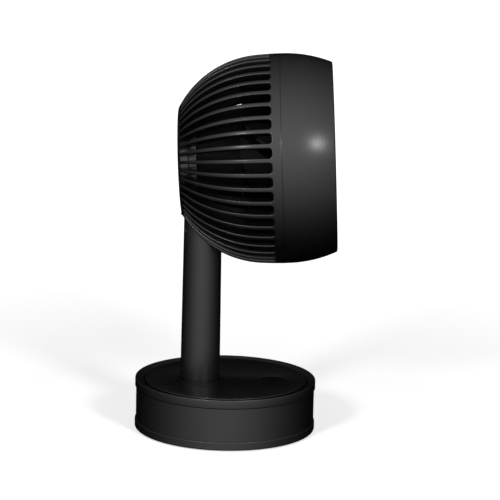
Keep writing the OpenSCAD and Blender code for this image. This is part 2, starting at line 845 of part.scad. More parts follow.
// Driven gear under the turntable; it also keeps the turntable from lifting off
module turntable_gear() {
    color(acetal_white) translate([0, 0, gear_z]) difference() {
        rotate([0, 0, motor_angle]) linear_extrude(height = gear_h) gear_outline(gear_teeth);
        translate([0, 0, -over]) cylinder(h = gear_h + 2 * over, r = gear_in_r);
        around(gear_screw_angles, gear_screw_r) mirror([0, 0, 1])
            screw_hole(screw_r, gear_h + over, gear_h / 2);
    }
}

// Screws that hold the driven gear
module gear_screws() {
    color(steel_grey) around(gear_screw_angles, gear_screw_r)
        translate([0, 0, gear_z + gear_h / 2]) mirror([0, 0, 1])
            screw(screw_r, gear_h / 2 + cup_floor_t - over);
}

// Radius of the ring of screws in the top ring's ledge
function ring_screw_r() = ledge_r + small_screw_d + over;

// Top ring with its sloping rim and the ledge inside it
module top_ring() {
    color(satin_black) difference() {
        rotate_extrude() difference() {
            polygon([[ledge_r, ledge_z], [base_r, ledge_z], [base_r, base_h],
                [base_r - rim_round, base_h], [groove_r, base_h - rim_fall],
                [groove_r, ledge_z + ledge_t], [ledge_r, ledge_z + ledge_t]]);
            corner_cut(base_r, base_h, rim_round, true);
            translate([flange_r + ring_step, ledge_z - over])
                square([base_r - base_wall - flange_r - ring_step, top_ring_h / 2 + over]);
        }
        around(post_angles, ring_screw_r()) translate([0, 0, ledge_z + ledge_t])
            screw_hole(small_screw_r, ledge_t + over, 0);
    }
}

// Screws that hold the top ring to the turntable
module ring_screws() {
    color(steel_grey) around(post_angles, ring_screw_r()) translate([0, 0, ledge_z + ledge_t])
        screw(small_screw_r, ledge_t + flange_t);
}

// Top plate with the holes for the pole and the button
module top_plate() {
    color(satin_black) difference() {
        rotate_extrude() polygon([[0, plate_under_z], [plate_r - skirt_w, plate_under_z],
            [plate_r - skirt_w, ledge_z + ledge_t], [plate_r, ledge_z + ledge_t],
            [plate_r, plate_z - plate_bevel_h], [plate_r - plate_bevel_w, plate_z],
            [0, plate_z]]);
        translate([0, pole_back, plate_under_z - over])
            cylinder(h = plate_t + 2 * over, r = pole_foot_r + button_gap);
        translate([0, -button_front, plate_under_z - over])
            cylinder(h = plate_t + 2 * over, r = button_r + button_gap);
    }
}

// Pole: a slightly tapered tube with a floor in its foot
module pole() {
    color(satin_black) translate([0, pole_back, pole_z]) difference() {
        cylinder(h = pole_length, r1 = pole_foot_r, r2 = pole_top_r);
        translate([0, 0, pole_floor_t])
            cylinder(h = pole_length, r1 = pole_r(pole_z + pole_floor_t) - pole_wall,
                r2 = pole_r(pole_top_z + pole_floor_t) - pole_wall);
        translate([0, 0, -over]) cylinder(h = pole_length, r = cable_way_d / 2);
        around(pole_screw_angles, pole_screw_r) mirror([0, 0, 1])
            screw_hole(screw_r, pole_floor_t + over, 0);
        translate([0, 0, knuckle_screw_z - pole_z]) around(knuckle_screw_angles, plug_r - over)
            rotate([0, 90, 0]) cylinder(h = pole_foot_r, r = screw_r + seat_gap);
    }
}

// Screws up through the cup's floor into the pole
module pole_screws() {
    color(steel_grey) at_pole_screws() translate([0, 0, cup_z]) mirror([0, 0, 1])
        screw(screw_r, cup_floor_t + pole_floor_t - seat_gap);
}

// Knuckle: plug, shoulder, neck and the eye that the tilt axle passes through
module pole_knuckle() {
    color(soft_black) translate([0, pole_back, 0]) difference() {
        union() {
            translate([0, 0, pole_top_z - plug_h]) cylinder(h = plug_h + over, r = plug_r);
            translate([0, 0, pole_top_z]) rotate_extrude() difference() {
                square([pole_top_r, shoulder_h]);
                corner_cut(pole_top_r, shoulder_h, shoulder_h / 2, true);
            }
            translate([-neck_w / 2, -neck_t / 2, pole_top_z + over])
                cube([neck_w, neck_t, pivot_z - pole_top_z - over]);
            translate([-neck_w / 2, 0, pivot_z]) rotate([0, 90, 0])
                cylinder(h = neck_w, r = eye_d / 2);
        }
        translate([-neck_w / 2 - over, 0, pivot_z]) rotate([0, 90, 0])
            cylinder(h = neck_w + 2 * over, r = knuckle_bore_r);
        translate([0, -neck_t / 2 - small_screw_d - seat_gap, pole_top_z - plug_h - over])
            cylinder(h = plug_h + shoulder_h + 2 * over, r = small_screw_d);
        translate([0, 0, knuckle_screw_z])
            around(knuckle_screw_angles, plug_r - knuckle_screw_l)
                rotate([0, 90, 0]) cylinder(h = plug_r, r = screw_r + seat_gap);
    }
}

// Two set screws that hold the knuckle in the back of the pole
module knuckle_screws() {
    end_r = pole_r(knuckle_screw_z) - shell_gap;
    color(steel_grey) translate([0, pole_back, knuckle_screw_z])
        around(knuckle_screw_angles, end_r - knuckle_screw_l) rotate([0, 90, 0]) difference() {
            cylinder(h = knuckle_screw_l, r = screw_r);
            translate([0, 0, knuckle_screw_l - screw_r])
                cylinder(h = screw_d, r = screw_r * socket_share, $fn = 6);
        }
}

// Standoffs of the button's board
module button_standoffs() {
    for (x = [-1, 1]) for (y = [-1, 1])
        translate([x * (button_board_w - board_post_d) / 2,
            -button_front + y * (button_board_l - board_post_d) / 2, flange_z]) children();
}

// Small board under the power button
module button_board() {
    color(board_green) difference() {
        translate([-button_board_w / 2, -button_front - button_board_l / 2, button_board_z])
            cube([button_board_w, button_board_l, board_t]);
        button_standoffs() translate([0, 0, button_board_z + board_t - flange_z])
            screw_hole(small_screw_r, board_t + over, 0);
    }
}

// Body of the push switch, open at the top for its plunger
module tact_switch() {
    color(soft_black) translate([0, -button_front, switch_z]) difference() {
        translate([-switch_w / 2, -switch_w / 2, 0])
            cube([switch_w, switch_w, switch_top_z - switch_z]);
        translate([0, 0, seat_gap * 2])
            cylinder(h = switch_w, r = plunger_d / 2 + run_gap);
    }
}

// Plunger of the push switch, which moves with the button
module switch_plunger() {
    color(acetal_white) translate([0, -button_front, button_rim_z - plunger_h])
        cylinder(h = plunger_h, r = plunger_d / 2);
}

// Power button with its rim under the top plate
module power_button() {
    color(soft_black) translate([0, -button_front, 0]) difference() {
        rotate_extrude() difference() {
            union() {
                translate([0, button_rim_z]) square([button_r + button_rim_w, button_rim_t]);
                translate([0, button_rim_z])
                    square([button_r, plate_z + button_out - button_rim_z]);
            }
            corner_cut(button_r, plate_z + button_out, button_crown, true);
        }
    }
}

// Half of the head's section inside its outer face, as far as the seam
module rear_area(inset) {
    intersection() {
        translate([shoulder_x, shoulder_y]) circle(r = shoulder_r - inset);
        square([head_d, join_s(inset)]);
    }
    intersection() {
        translate([crown_x, seam_s]) circle(r = crown_r - inset);
        translate([0, join_s(inset)]) square([head_d, seam_s - join_s(inset)]);
    }
}

// The same for the front shell
module front_area(inset) {
    translate([0, seam_s]) square([head_r - inset, front_flat]);
    intersection() {
        translate([head_r - front_bend_r, front_bend_s]) circle(r = front_bend_r - inset);
        translate([0, front_bend_s]) square([head_d, head_depth - front_bend_s]);
    }
}

// Section of the rear grille: ribs, band, tongue, hub ring and hub flange
module cage_section() {
    root_r = max(hub_r + over, dome_r(0, 0));
    difference() {
        rear_area(0);
        rear_area(rib_depth);
        translate([0, band_s + band_ring_t])
            square([tongue_in_r, band_w + over]);
        translate([0, -over]) square([hub_in_r, seam_s]);
        polygon([[0, hub_s], [hub_in_r, hub_s], [dome_r(0, 0), 0], [dome_r(0, 0), -over],
            [0, -over]]);
    }
    intersection() {
        difference() {
            rear_area(0);
            rear_area(head_wall);
        }
        translate([0, band_s - over]) square([head_r, band_w + over]);
    }
    translate([tongue_in_r, seam_s - over]) square([head_wall - over, tongue_h + over]);
    polygon([[hub_in_r, hub_s + over], [root_r, over], [root_r, rib_depth],
        [hub_in_r, hub_s + rib_depth]]);
    translate([hub_in_r, hub_s]) square([hub_ring_t, hub_ring_h]);
    translate([hub_in_r - hub_flange_w, hub_flange_s])
        square([hub_flange_w + over, hub_flange_t]);
}

// Outline of one rib, wider at the band than at the hub
module rib_outline() {
    polygon([[pod_r - over, -rib_inner_w / 2], [head_r + over, -rib_outer_w / 2],
        [head_r + over, rib_outer_w / 2], [pod_r - over, rib_inner_w / 2]]);
}

// Everything between the ribs, and the slot that the pole passes through
module slots_outline() {
    difference() {
        circle(r = head_r + over);
        circle(r = slots_in_r);
        for (i = [0 : rib_count - 1]) rotate([0, 0, i * rib_step]) rib_outline();
        for (side = [0, 1]) mirror([side, 0])
            translate([slot_half - over, -head_d]) square([rail_w + over, head_d]);
    }
    difference() {
        translate([-slot_half, -head_d]) square([pole_slot_w, head_d]);
        circle(r = slots_in_r);
    }
}

// Rounded end of one slot on the +x side
module slot_end() {
    half = band_r * sin(rib_step / 2) - rib_outer_w / 2 + shell_gap;
    translate([hub_r, 0, 0]) rotate([90, 0, 90]) linear_extrude(height = head_r) {
        translate([-half, rear_rim_t + over])
            square([2 * half, band_s - slot_round - rear_rim_t - over]);
        translate([slot_round - half, rear_rim_t + over])
            square([2 * half - 2 * slot_round, band_s - rear_rim_t - over]);
        for (side = [-1, 1]) translate([side * (half - slot_round), band_s - slot_round])
            circle(r = slot_round);
    }
}

// Rear grille: band, ribs, hub ring, the rails of the pole's slot and screw tabs
module rear_grille() {
    color(satin_black) place_head() difference() {
        union() {
            rotate([0, 0, -90]) rotate_extrude() cage_section();
            tab_blocks(tab_s, tab_t, head_r - head_wall - seat_gap - over / 2);
        }
        intersection() {
            translate([0, 0, -over]) linear_extrude(height = band_s + over) slots_outline();
            union() {
                translate([0, 0, rear_rim_t])
                    cylinder(h = seam_s / 2, r = head_r + 2 * over);
                for (i = [0 : rib_count - 1]) rotate([0, 0, (i + 1 / 2) * rib_step]) slot_end();
                translate([-slot_half - over, -head_d, -2 * over])
                    cube([pole_slot_w + 2 * over, head_d, seam_s]);
            }
        }
        translate([-neck_slot_w / 2, -hub_r - over, -over])
            cube([neck_slot_w, hub_r + over, hub_s + hub_ring_h + 2 * over]);
        around(pod_boss_angles, pod_boss_ring_r) translate([0, 0, hub_flange_s])
            mirror([0, 0, 1])
                screw_hole(small_screw_r, hub_flange_t + over, hub_flange_t / 2);
        around(boss_angles, boss_ring_r) translate([0, 0, tab_s - over])
            cylinder(h = tab_t + 2 * over, r = screw_r + seat_gap);
    }
}

// Flat tabs that reach in from the wall to the screws
module tab_blocks(s, t, reach) {
    intersection() {
        translate([0, 0, s]) tube(t, reach, tab_in_r);
        for (angle = boss_angles) rotate([0, 0, angle])
            translate([0, -tab_w / 2, s]) cube([head_r, tab_w, t]);
    }
}

// Front shell: smooth skin, front lip and the bosses for its screws
module front_shell() {
    color(satin_black) place_head() difference() {
        union() {
            rotate_extrude() {
                difference() {
                    front_area(0);
                    front_area(head_wall);
                }
                intersection() {
                    front_area(0);
                    translate([duct_r, lip_s]) square([head_r, lip_t]);
                }
            }
            intersection() {
                around(boss_angles, boss_ring_r) translate([0, 0, boss_s])
                    cylinder(h = boss_h, r = boss_r);
                rotate_extrude() difference() {
                    front_area(head_wall / 2);
                    square([duct_out_r + seat_gap, head_depth]);
                }
            }
        }
        around(boss_angles, boss_ring_r) translate([0, 0, boss_s]) mirror([0, 0, 1])
            screw_hole(screw_r, 2 * screw_d, 0);
    }
}

// Air duct round the impeller, with a flared mouth, ears and a step for the grille
module air_duct() {
    color(soft_black) place_head() difference() {
        union() {
            rotate_extrude() polygon([
                [duct_r + duct_mouth / 2, duct_s], [duct_out_r + duct_mouth / 2, duct_s],
                [duct_out_r, duct_s + duct_mouth], [duct_out_r, duct_end_s],
                [duct_r, duct_end_s], [duct_r, grille_s], [duct_r - duct_step, grille_s],
                [duct_r, grille_s - duct_step - duct_step], [duct_r, duct_s + duct_mouth]]);
            tab_blocks(ear_s, tab_t, tongue_in_r - seat_gap);
            for (angle = boss_angles) rotate([0, 0, angle])
                translate([duct_out_r - duct_wall / 2, -tab_w / 2, ear_s])
                    cube([boss_r, tab_w, tab_t]);
        }
        around(boss_angles, boss_ring_r) translate([0, 0, ear_s - over])
            cylinder(h = tab_t + 2 * over, r = screw_r + seat_gap);
    }
}

// Screws through the rear grille's tabs and the duct's ears into the front shell
module shell_screws() {
    color(steel_grey) place_head() around(boss_angles, boss_ring_r)
        translate([0, 0, tab_s]) mirror([0, 0, 1]) screw(screw_r, 2 * tab_t + screw_d);
}

// One curved rib of the front grille, from its hub to its outer ring
module front_rib() {
    start_r = grille_hub_d / 2 - over;
    end_r = duct_r - front_rib_w;
    reach = sqrt(front_rib_r * front_rib_r - start_r * start_r / 4);
    intersection() {
        translate([start_r / 2, -reach]) difference() {
            circle(r = front_rib_r + front_rib_w / 2);
            circle(r = front_rib_r - front_rib_w / 2);
        }
        difference() {
            circle(r = end_r);
            circle(r = start_r);
        }
        translate([start_r / 2, -duct_r]) square([duct_r, duct_r + duct_r]);
    }
}

// Front grille: hub ring, curved ribs and outer ring
module front_grille() {
    outer = duct_r - shell_gap;
    ring_t = 2 * front_rib_w;
    color(satin_black) place_head() translate([0, 0, grille_s])
        linear_extrude(height = grille_depth) {
            difference() {
                circle(r = outer);
                circle(r = outer - ring_t);
            }
            difference() {
                circle(r = grille_hub_d / 2);
                circle(r = grille_hub_d / 2 - ring_t);
            }
            for (i = [0 : front_rib_count - 1])
                rotate([0, 0, i * 360 / front_rib_count]) front_rib();
        }
}

// Domed cap in the middle of the front grille
module centre_cap() {
    cap_face_r = grille_hub_d / 2;
    stem_r = cap_face_r - 2 * front_rib_w - seat_gap;
    color(satin_black) place_head() rotate_extrude() polygon(concat(
        [[0, grille_s]], [[stem_r, grille_s], [stem_r, grille_front_s]],
        [for (i = [0 : 6]) let (a = 90 * i / 6)
            [cap_face_r * cos(a), grille_front_s + (grille_inset - over / 2) * sin(a)]]));
}

// Bracket that carries the head on the tilt axle: two ears on a base
module tilt_bracket() {
    color(zinc_grey) place_head() difference() {
        union() {
            translate([-bracket_half, -bracket_h / 2, bracket_s])
                cube([2 * bracket_half, bracket_h, bracket_t]);
            for (side = [0, 1]) mirror([side, 0, 0]) {
                translate([ear_in, -ear_w / 2, pivot_s])
                    cube([bracket_t, ear_w, bracket_s - pivot_s + over]);
                translate([ear_in, 0, pivot_s]) rotate([0, 90, 0])
                    cylinder(h = bracket_t, r = ear_w / 2);
            }
        }
        translate([-ear_out - over, 0, pivot_s]) rotate([0, 90, 0])
            cylinder(h = 2 * ear_out + 2 * over, r = pivot_r + run_gap / 2);
        at_bracket_screws() translate([0, 0, bracket_s]) mirror([0, 0, 1])
            screw_hole(screw_r, bracket_t + over, 0);
    }
}

// Places of the bracket's screws
module at_bracket_screws() {
    for (x = [-1, 1]) for (y = [-1, 1])
        translate([x * bracket_screw_x, y * bracket_screw_y, 0]) children();
}

// Screws that hold the bracket to the bulkhead
module bracket_screws() {
    color(steel_grey) place_head() at_bracket_screws() translate([0, 0, bracket_s])
        mirror([0, 0, 1]) screw(screw_r, bracket_t + bulkhead_t - seat_gap);
}

// Tilt axle: a bolt through the bracket's ears and the knuckle's eye
module tilt_axle() {
    color(steel_grey) place_head() translate([0, 0, pivot_s]) rotate([0, 90, 0]) {
        translate([0, 0, -ear_out]) cylinder(h = 2 * ear_out + nut_t + over, r = pivot_r);
        translate([0, 0, -ear_out - axle_head_t])
            cylinder(h = axle_head_t, r = axle_head_d / 2);
    }
}

// Nut that sets the tilt joint's friction
module tilt_nut() {
    color(zinc_grey) place_head() translate([ear_out, 0, pivot_s]) rotate([0, 90, 0])
        difference() {
            cylinder(h = nut_t, r = nut_d / 2, $fn = 6);
            translate([0, 0, -over]) cylinder(h = nut_t + 2 * over, r = pivot_r + run_gap / 2);
        }
}

// Friction washers between the ears and the knuckle
module friction_washers() {
    color(acetal_white) place_head() for (side = [0, 1]) mirror([side, 0, 0])
        translate([ear_in - washer_t, 0, pivot_s]) rotate([0, 90, 0])
            tube(washer_t, eye_d / 2 - over, pivot_r + run_gap / 2);
}

// Motor pod: shell, bulkhead, bearing tube and the bosses at its rear
module motor_pod() {
    color(satin_black) place_head() difference() {
        union() {
            translate([0, 0, pod_s]) tube(pod_front_s - pod_s, pod_r, pod_in_r);
            translate([0, 0, bulkhead_s]) cylinder(h = bulkhead_t, r = pod_in_r + over / 2);
            translate([0, 0, tube_rear_s]) cylinder(h = tube_front_s - tube_rear_s, r = tube_r);
            around(pod_boss_angles, pod_boss_ring_r) translate([0, 0, pod_s])
                cylinder(h = pod_boss_h, r = pod_boss_r);
        }
        translate([0, 0, bulkhead_s - over])
            cylinder(h = bearing_rear_s + bearing_w - bulkhead_s + over, r = bearing_r + run_gap / 2);
        translate([0, 0, bulkhead_s]) cylinder(h = pod_front_s, r = bearing_r - over);
        translate([0, 0, bearing_front_s]) cylinder(h = pod_front_s, r = bearing_r + run_gap / 2);
        translate([-neck_slot_w / 2, -head_r, pod_s - over])
            cube([neck_slot_w, head_r - pod_in_r / 2, bulkhead_s - pod_s + over / 2]);
        around(pod_boss_angles, pod_boss_ring_r) translate([0, 0, pod_s]) mirror([0, 0, 1])
            screw_hole(small_screw_r, pod_boss_h - over, 0);
        at_bracket_screws() translate([0, 0, bulkhead_s]) mirror([0, 0, 1])
            screw_hole(screw_r, bulkhead_t + over, 0);
    }
}

// Cap over the back of the pod, cut out where the neck swings
module pod_cap() {
    color(satin_black) place_head() difference() {
        translate([0, 0, hub_s]) cylinder(h = cap_t, r = cap_r);
        translate([-neck_slot_w / 2, -cap_r - over, hub_s - over])
            cube([neck_slot_w, cap_r + over - cap_slot_end, cap_t + 2 * over]);
    }
}

// Screws through the hub flange into the pod
module pod_screws() {
    color(steel_grey) place_head() around(pod_boss_angles, pod_boss_ring_r)
        translate([0, 0, hub_flange_s + hub_flange_t / 2]) mirror([0, 0, 1])
            screw(small_screw_r, pod_boss_h / 2);
}

// Stator: ring, wound teeth and their shoes
module motor_stator() {
    ring_in = tube_r + run_gap;
    stator_r = stator_d / 2;
    color(copper_red) place_head() translate([0, 0, stator_s]) {
        tube(stator_h, ring_in + stator_ring_t, ring_in);
        for (i = [0 : stator_poles - 1]) rotate([0, 0, i * 360 / stator_poles]) {
            translate([ring_in + stator_ring_t / 2, -tooth_w / 2, 0])
                cube([stator_r - ring_in - stator_ring_t, tooth_w, stator_h]);
            rotate([0, 0, -120 / stator_poles])
                rotate_extrude(angle = 240 / stator_poles)
                    translate([stator_r - shoe_t, 0]) square([shoe_t, stator_h]);
        }
    }
}

// Round board behind the stator
module motor_board() {
    color(board_green) place_head() translate([0, 0, board_s])
        tube(board_t, stator_d / 2, tube_r + seat_gap);
}

// Two ball bearings in the pod's tube
module motor_bearings() {
    color(steel_grey) place_head() for (s = [bearing_rear_s, bearing_front_s])
        translate([0, 0, s]) tube(bearing_w, bearing_r, shaft_r + run_gap);
}

// Rotor cup with its magnets
module motor_rotor() {
    in_r = rotor_r - rotor_wall;
    color(steel_grey) place_head() difference() {
        union() {
            translate([0, 0, rotor_s]) cylinder(h = rotor_front_s - rotor_s, r = rotor_r);
        }
        translate([0, 0, rotor_s - over])
            cylinder(h = stator_h + 2 * over, r = in_r - magnet_t);
        translate([0, 0, rotor_s + stator_h])
            cylinder(h = rotor_front_s - rotor_s - stator_h - rotor_wall, r = in_r);
        translate([0, 0, rotor_s - over])
            cylinder(h = pod_front_s, r = shaft_r + run_gap / 4);
    }
}

// Motor shaft
module motor_shaft() {
    color(steel_grey) place_head() translate([0, 0, shaft_rear_s])
        cylinder(h = shaft_front_s - shaft_rear_s, r = shaft_r);
}

// One blade on the +x side, an arched plate from the hub's wall to the tip
module blade() {
    chord_x = blade_sweep / 2;
    half_chord = sqrt(chord_x * chord_x + blade_depth * blade_depth / 4);
    rise_r = sqrt(blade_bend_r * blade_bend_r - half_chord * half_chord);
    root_r = impeller_hub_r / 2;
    intersection() {
        translate([root_r, 0, blade_s]) rotate([90, 0, 90])
            linear_extrude(height = impeller_r - root_r + over) intersection() {
                translate([-rise_r * blade_depth / 2 / half_chord,
                    blade_depth / 2 + rise_r * chord_x / half_chord]) difference() {
                    circle(r = blade_bend_r + blade_t / 2);
                    circle(r = blade_bend_r - blade_t / 2);
                }
                translate([-blade_sweep, 0]) square([2 * blade_sweep, blade_depth]);
            }
        translate([0, 0, hub_skirt_s])
            tube(impeller_front_s, impeller_r, impeller_hub_r - impeller_wall / 2);
    }
}

// Impeller: cup-shaped hub with a rounded nose, its boss and the blades
module impeller() {
    nose_r = impeller_hub_r - nose_h;
    color(soft_black) place_head() {
        rotate_extrude() difference() {
            union() {
                translate([0, hub_skirt_s])
                    square([impeller_hub_r, hub_shoulder_s - hub_skirt_s]);
                translate([0, hub_rear_s]) square([nose_r, impeller_front_s - hub_rear_s]);
                intersection() {
                    translate([nose_r, hub_shoulder_s]) circle(r = nose_h);
                    translate([0, hub_shoulder_s]) square([impeller_hub_r, nose_h]);
                }
            }
            translate([0, hub_skirt_s - over])
                square([impeller_hub_r - impeller_wall, hub_rear_s - hub_skirt_s + over]);
            translate([boss_core_r, hub_rear_s - over])
                square([impeller_hub_r - impeller_wall - boss_core_r,
                    hub_shoulder_s - hub_rear_s + over]);
            square([shaft_r + run_gap / 4, head_depth]);
        }
        for (i = [0 : blade_count - 1]) rotate([0, 0, i * 360 / blade_count]) blade();
    }
}

// Nut that holds the impeller on its shaft
module impeller_nut() {
    color(soft_black) place_head() translate([0, 0, impeller_front_s]) difference() {
        union() {
            cylinder(h = nut_h / 2, r = nut_r);
            translate([0, 0, nut_h / 2]) cylinder(h = nut_h / 2, r1 = nut_r, r2 = nut_r / 2);
        }
        translate([0, 0, -over]) cylinder(h = nut_h / 2 + over, r = shaft_r + run_gap / 4);
    }
}

foot_cover();
rubber_feet();
cover_screws();
ballast_plate();
ballast_screws();
base_housing();
glide_ring();
swivel_motor();
swivel_motor_screws();
control_board();
board_screws();
power_inlet();
inlet_contact();
swivel_pinion();
turntable();
turntable_gear();
gear_screws();
top_ring();
ring_screws();
top_plate();
pole();
pole_screws();
pole_knuckle();
knuckle_screws();
button_board();
tact_switch();
switch_plunger();
power_button();
tilt_bracket();
bracket_screws();
tilt_axle();
tilt_nut();
friction_washers();
motor_pod();
pod_cap();
pod_screws();
motor_stator();
motor_board();
motor_bearings();
rear_grille();
front_shell();
air_duct();
shell_screws();
front_grille();
centre_cap();
motor_rotor();
motor_shaft();
impeller();
impeller_nut();
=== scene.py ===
import json
from math import asin, atan2, cos, hypot, pi, radians, sin, sqrt, tau

import bmesh
import bpy
from bpy.props import FloatProperty, FloatVectorProperty, IntProperty, PointerProperty
from mathutils import Matrix, Vector


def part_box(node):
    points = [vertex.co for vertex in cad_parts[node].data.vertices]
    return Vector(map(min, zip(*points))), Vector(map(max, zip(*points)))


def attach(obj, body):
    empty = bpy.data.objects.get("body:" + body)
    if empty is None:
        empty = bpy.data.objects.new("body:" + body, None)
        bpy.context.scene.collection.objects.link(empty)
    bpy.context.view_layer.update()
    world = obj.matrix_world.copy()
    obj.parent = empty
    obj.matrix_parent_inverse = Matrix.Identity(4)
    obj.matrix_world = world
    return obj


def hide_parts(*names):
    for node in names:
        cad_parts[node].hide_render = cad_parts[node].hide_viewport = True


bl_info = {
    "name": "Air circulator",
    "version": (1, 0, 0),
    "blender": (4, 5, 0),
    "location": "3D Viewport > Sidebar > Circulator",
    "description": "Models the shells, grilles and finishes of a desk air circulator",
    "category": "Object",
}

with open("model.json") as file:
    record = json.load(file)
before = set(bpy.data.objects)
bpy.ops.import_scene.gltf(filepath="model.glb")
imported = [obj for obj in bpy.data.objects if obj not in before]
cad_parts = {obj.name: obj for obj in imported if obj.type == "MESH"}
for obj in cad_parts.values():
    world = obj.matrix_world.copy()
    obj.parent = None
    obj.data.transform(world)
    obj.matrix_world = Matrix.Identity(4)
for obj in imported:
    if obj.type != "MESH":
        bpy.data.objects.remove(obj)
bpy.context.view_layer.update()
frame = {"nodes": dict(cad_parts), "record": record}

SMALL = 1e-6            # points closer than this are one point
FOLD = 0.9              # edges that fold by more than this angle count as sharp
APART = 1e-4            # a step or gap that only keeps two faces apart

# The cage's profile and its flat pattern
SHOULDER_SHARE = 0.758  # share of the way to the seam where the profile's arcs meet
BAND_ROW = 0.0015       # first row of faces past the slots
DEEP_END = 0.0025       # how far the ribs' depth runs on into the band
SEAM_ROW = 0.0035       # last row of faces before the seam
SLOPE_IN = 0.0019       # a rib's depth on the rear slope, towards the axis
SLOPE_ON = 0.0068       # a rib's depth on the rear slope, along the axis
SEAM_ROUND = 0.00035    # rounding of the shells' edges at the seam
SHOULDER_STEPS = 15     # rows of faces along the ribs' shoulder

# The six screws that join the shells
SCREWS = 6
FIRST_SCREW = radians(30)

ROUND_STEPS = 184       # faces round the shells, four for each of the cage's ribs
BASE_STEPS = 220        # faces round the base's ring and plate


# ---------------------------------------------------------------- sizes

def length(name, description, default):
    return FloatProperty(name=name, description=description, default=default,
                         min=0.0, precision=5, unit="LENGTH")


class HeadSizes(bpy.types.PropertyGroup):
    """Sizes of the round head, measured along its axis from its rear."""

    diameter: length("Diameter", "Widest diameter of the head", 0.194)
    depth: length("Depth", "Length of the head along its axis", 0.1428)
    seam: length("Seam", "Distance from the rear to the seam of the shells", 0.095)
    crown_bend: length("Crown bend", "Radius of the cage's profile beside the seam", 0.310)
    shoulder_bend: length("Shoulder bend", "Radius of the cage's profile at the rear", 0.090)
    front_bend: length("Front bend", "Radius of the front shell's profile", 0.116)
    front_flat: length("Front flat", "Straight length of the front shell at the seam", 0.002)
    wall: length("Wall", "Wall of the shells", 0.0024)
    rib_count: IntProperty(name="Ribs", description="Ribs round the cage", default=46, min=12)
    rib_outer_width: length("Rib at band", "Width of a rib at the band", 0.0041)
    rib_inner_width: length("Rib at hub", "Width of a rib at the hub ring", 0.0026)
    rib_depth: length("Rib depth", "Depth of a rib, square to the skin", 0.009)
    rib_round: length("Rib edge", "Rounding of the ribs' outer edges", 0.0009)
    band_width: length("Band", "Width of the plain band beside the seam", 0.0087)
    slot_round: length("Slot corner", "Corner radius at the band end of a slot", 0.003)
    pole_slot: length("Pole slot", "Width of the slot that the pole passes through", 0.0404)
    rail: length("Slot rail", "Width of the rails beside the pole's slot", 0.003)
    hub_inner: length("Hub ring bore", "Inner radius of the cage's hub ring", 0.0433)
    hub_inset: length("Hub inset", "How far the hub ring lies inside the rear edge", 0.0052)
    hub_wall: length("Hub ring wall", "Wall of the hub ring", 0.0032)
    hub_height: length("Hub ring height", "Height of the hub ring", 0.012)
    duct_radius: length("Duct radius", "Inner radius of the air duct", 0.084)
    lip: length("Front lip", "Thickness of the front shell's lip", 0.0024)
    grille_inset: length("Grille inset", "How far the front grille lies inside the lip", 0.003)
    grille_depth: length("Grille depth", "Depth of the front grille's ribs", 0.006)
    grille_ribs: IntProperty(name="Front ribs", description="Curved ribs of the front grille",
                             default=46, min=12)
    grille_rib: length("Front rib", "Width of a front rib", 0.0017)
    grille_bend: length("Front rib bend", "Radius that a front rib is curved to", 0.062)
    cap_radius: length("Cap radius", "Radius of the centre cap", 0.026)
    tilt: FloatProperty(name="Tilt", description="Upward tilt of the head at rest",
                        default=radians(3.25), unit="ROTATION")
    pivot: FloatVectorProperty(name="Pivot", description="Middle of the tilt joint",
                               default=(0.0, 0.024, 0.2546), subtype="TRANSLATION")
    pivot_depth: length("Pivot depth", "Distance from the head's rear to the tilt joint", 0.0218)


class BaseSizes(bpy.types.PropertyGroup):
    """Sizes of the round base, its plate and its button."""

    diameter: length("Diameter", "Outer diameter of the base", 0.170)
    height: length("Height", "Height of the base above the table", 0.0485)
    ring_height: length("Ring height", "Height of the turning top ring", 0.008)
    ring_round: length("Ring edge", "Rounding of the top ring's edge", 0.0012)
    rim: length("Rim", "Width of the sloping rim round the plate", 0.008)
    rim_fall: length("Rim fall", "How far the rim slopes down to the groove", 0.0023)
    groove: length("Groove", "Width of the groove round the plate", 0.001)
    plate_drop: length("Plate drop", "How far the plate lies under the rim's edge", 0.0007)
    plate_thickness: length("Plate", "Thickness of the top plate", 0.0022)
    plate_bevel: length("Plate edge", "Rounding of the plate's edge", 0.0006)
    skirt: length("Skirt", "Wall of the plate's skirt", 0.0022)
    ledge_radius: length("Ledge", "Inner radius of the ring's ledge", 0.066)
    ledge_thickness: length("Ledge thickness", "Thickness of the ring's ledge", 0.0025)
    pole_back: length("Pole place", "Distance of the pole behind the base's middle", 0.024)
    pole_hole: length("Pole hole", "Radius of the plate's hole for the pole", 0.0190)
    button_front: length("Button place", "Distance of the button before the middle", 0.045)
    button_radius: length("Button radius", "Radius of the power button", 0.0105)
    button_gap: length("Button gap", "Running gap round the power button", 0.00025)
    button_stand: length("Button stand", "How far the button stands above the plate", 0.0001)


class Finishes(bpy.types.PropertyGroup):
    """Colours of the moulded parts, in linear light."""

    shell: FloatVectorProperty(name="Shell", description="Satin black of the shells",
                               default=(0.0014, 0.0014, 0.0015), subtype="COLOR", min=0, max=1)
    # Inner parts: black plastic set darker still, with almost no gloss in its material, as
    # painted shade for the shaded inside of the head seen through the cage
    inner: FloatVectorProperty(name="Inner parts", description="Matt black inside the head",
                               default=(0.0009, 0.0009, 0.0009), subtype="COLOR", min=0, max=1)
    # Impeller: black plastic set darker still, with little gloss in its material, as painted
    # shade for the shaded inside of the head
    impeller: FloatVectorProperty(name="Impeller", description="Black of the impeller",
                                  default=(0.0010, 0.0010, 0.0010), subtype="COLOR", min=0, max=1)


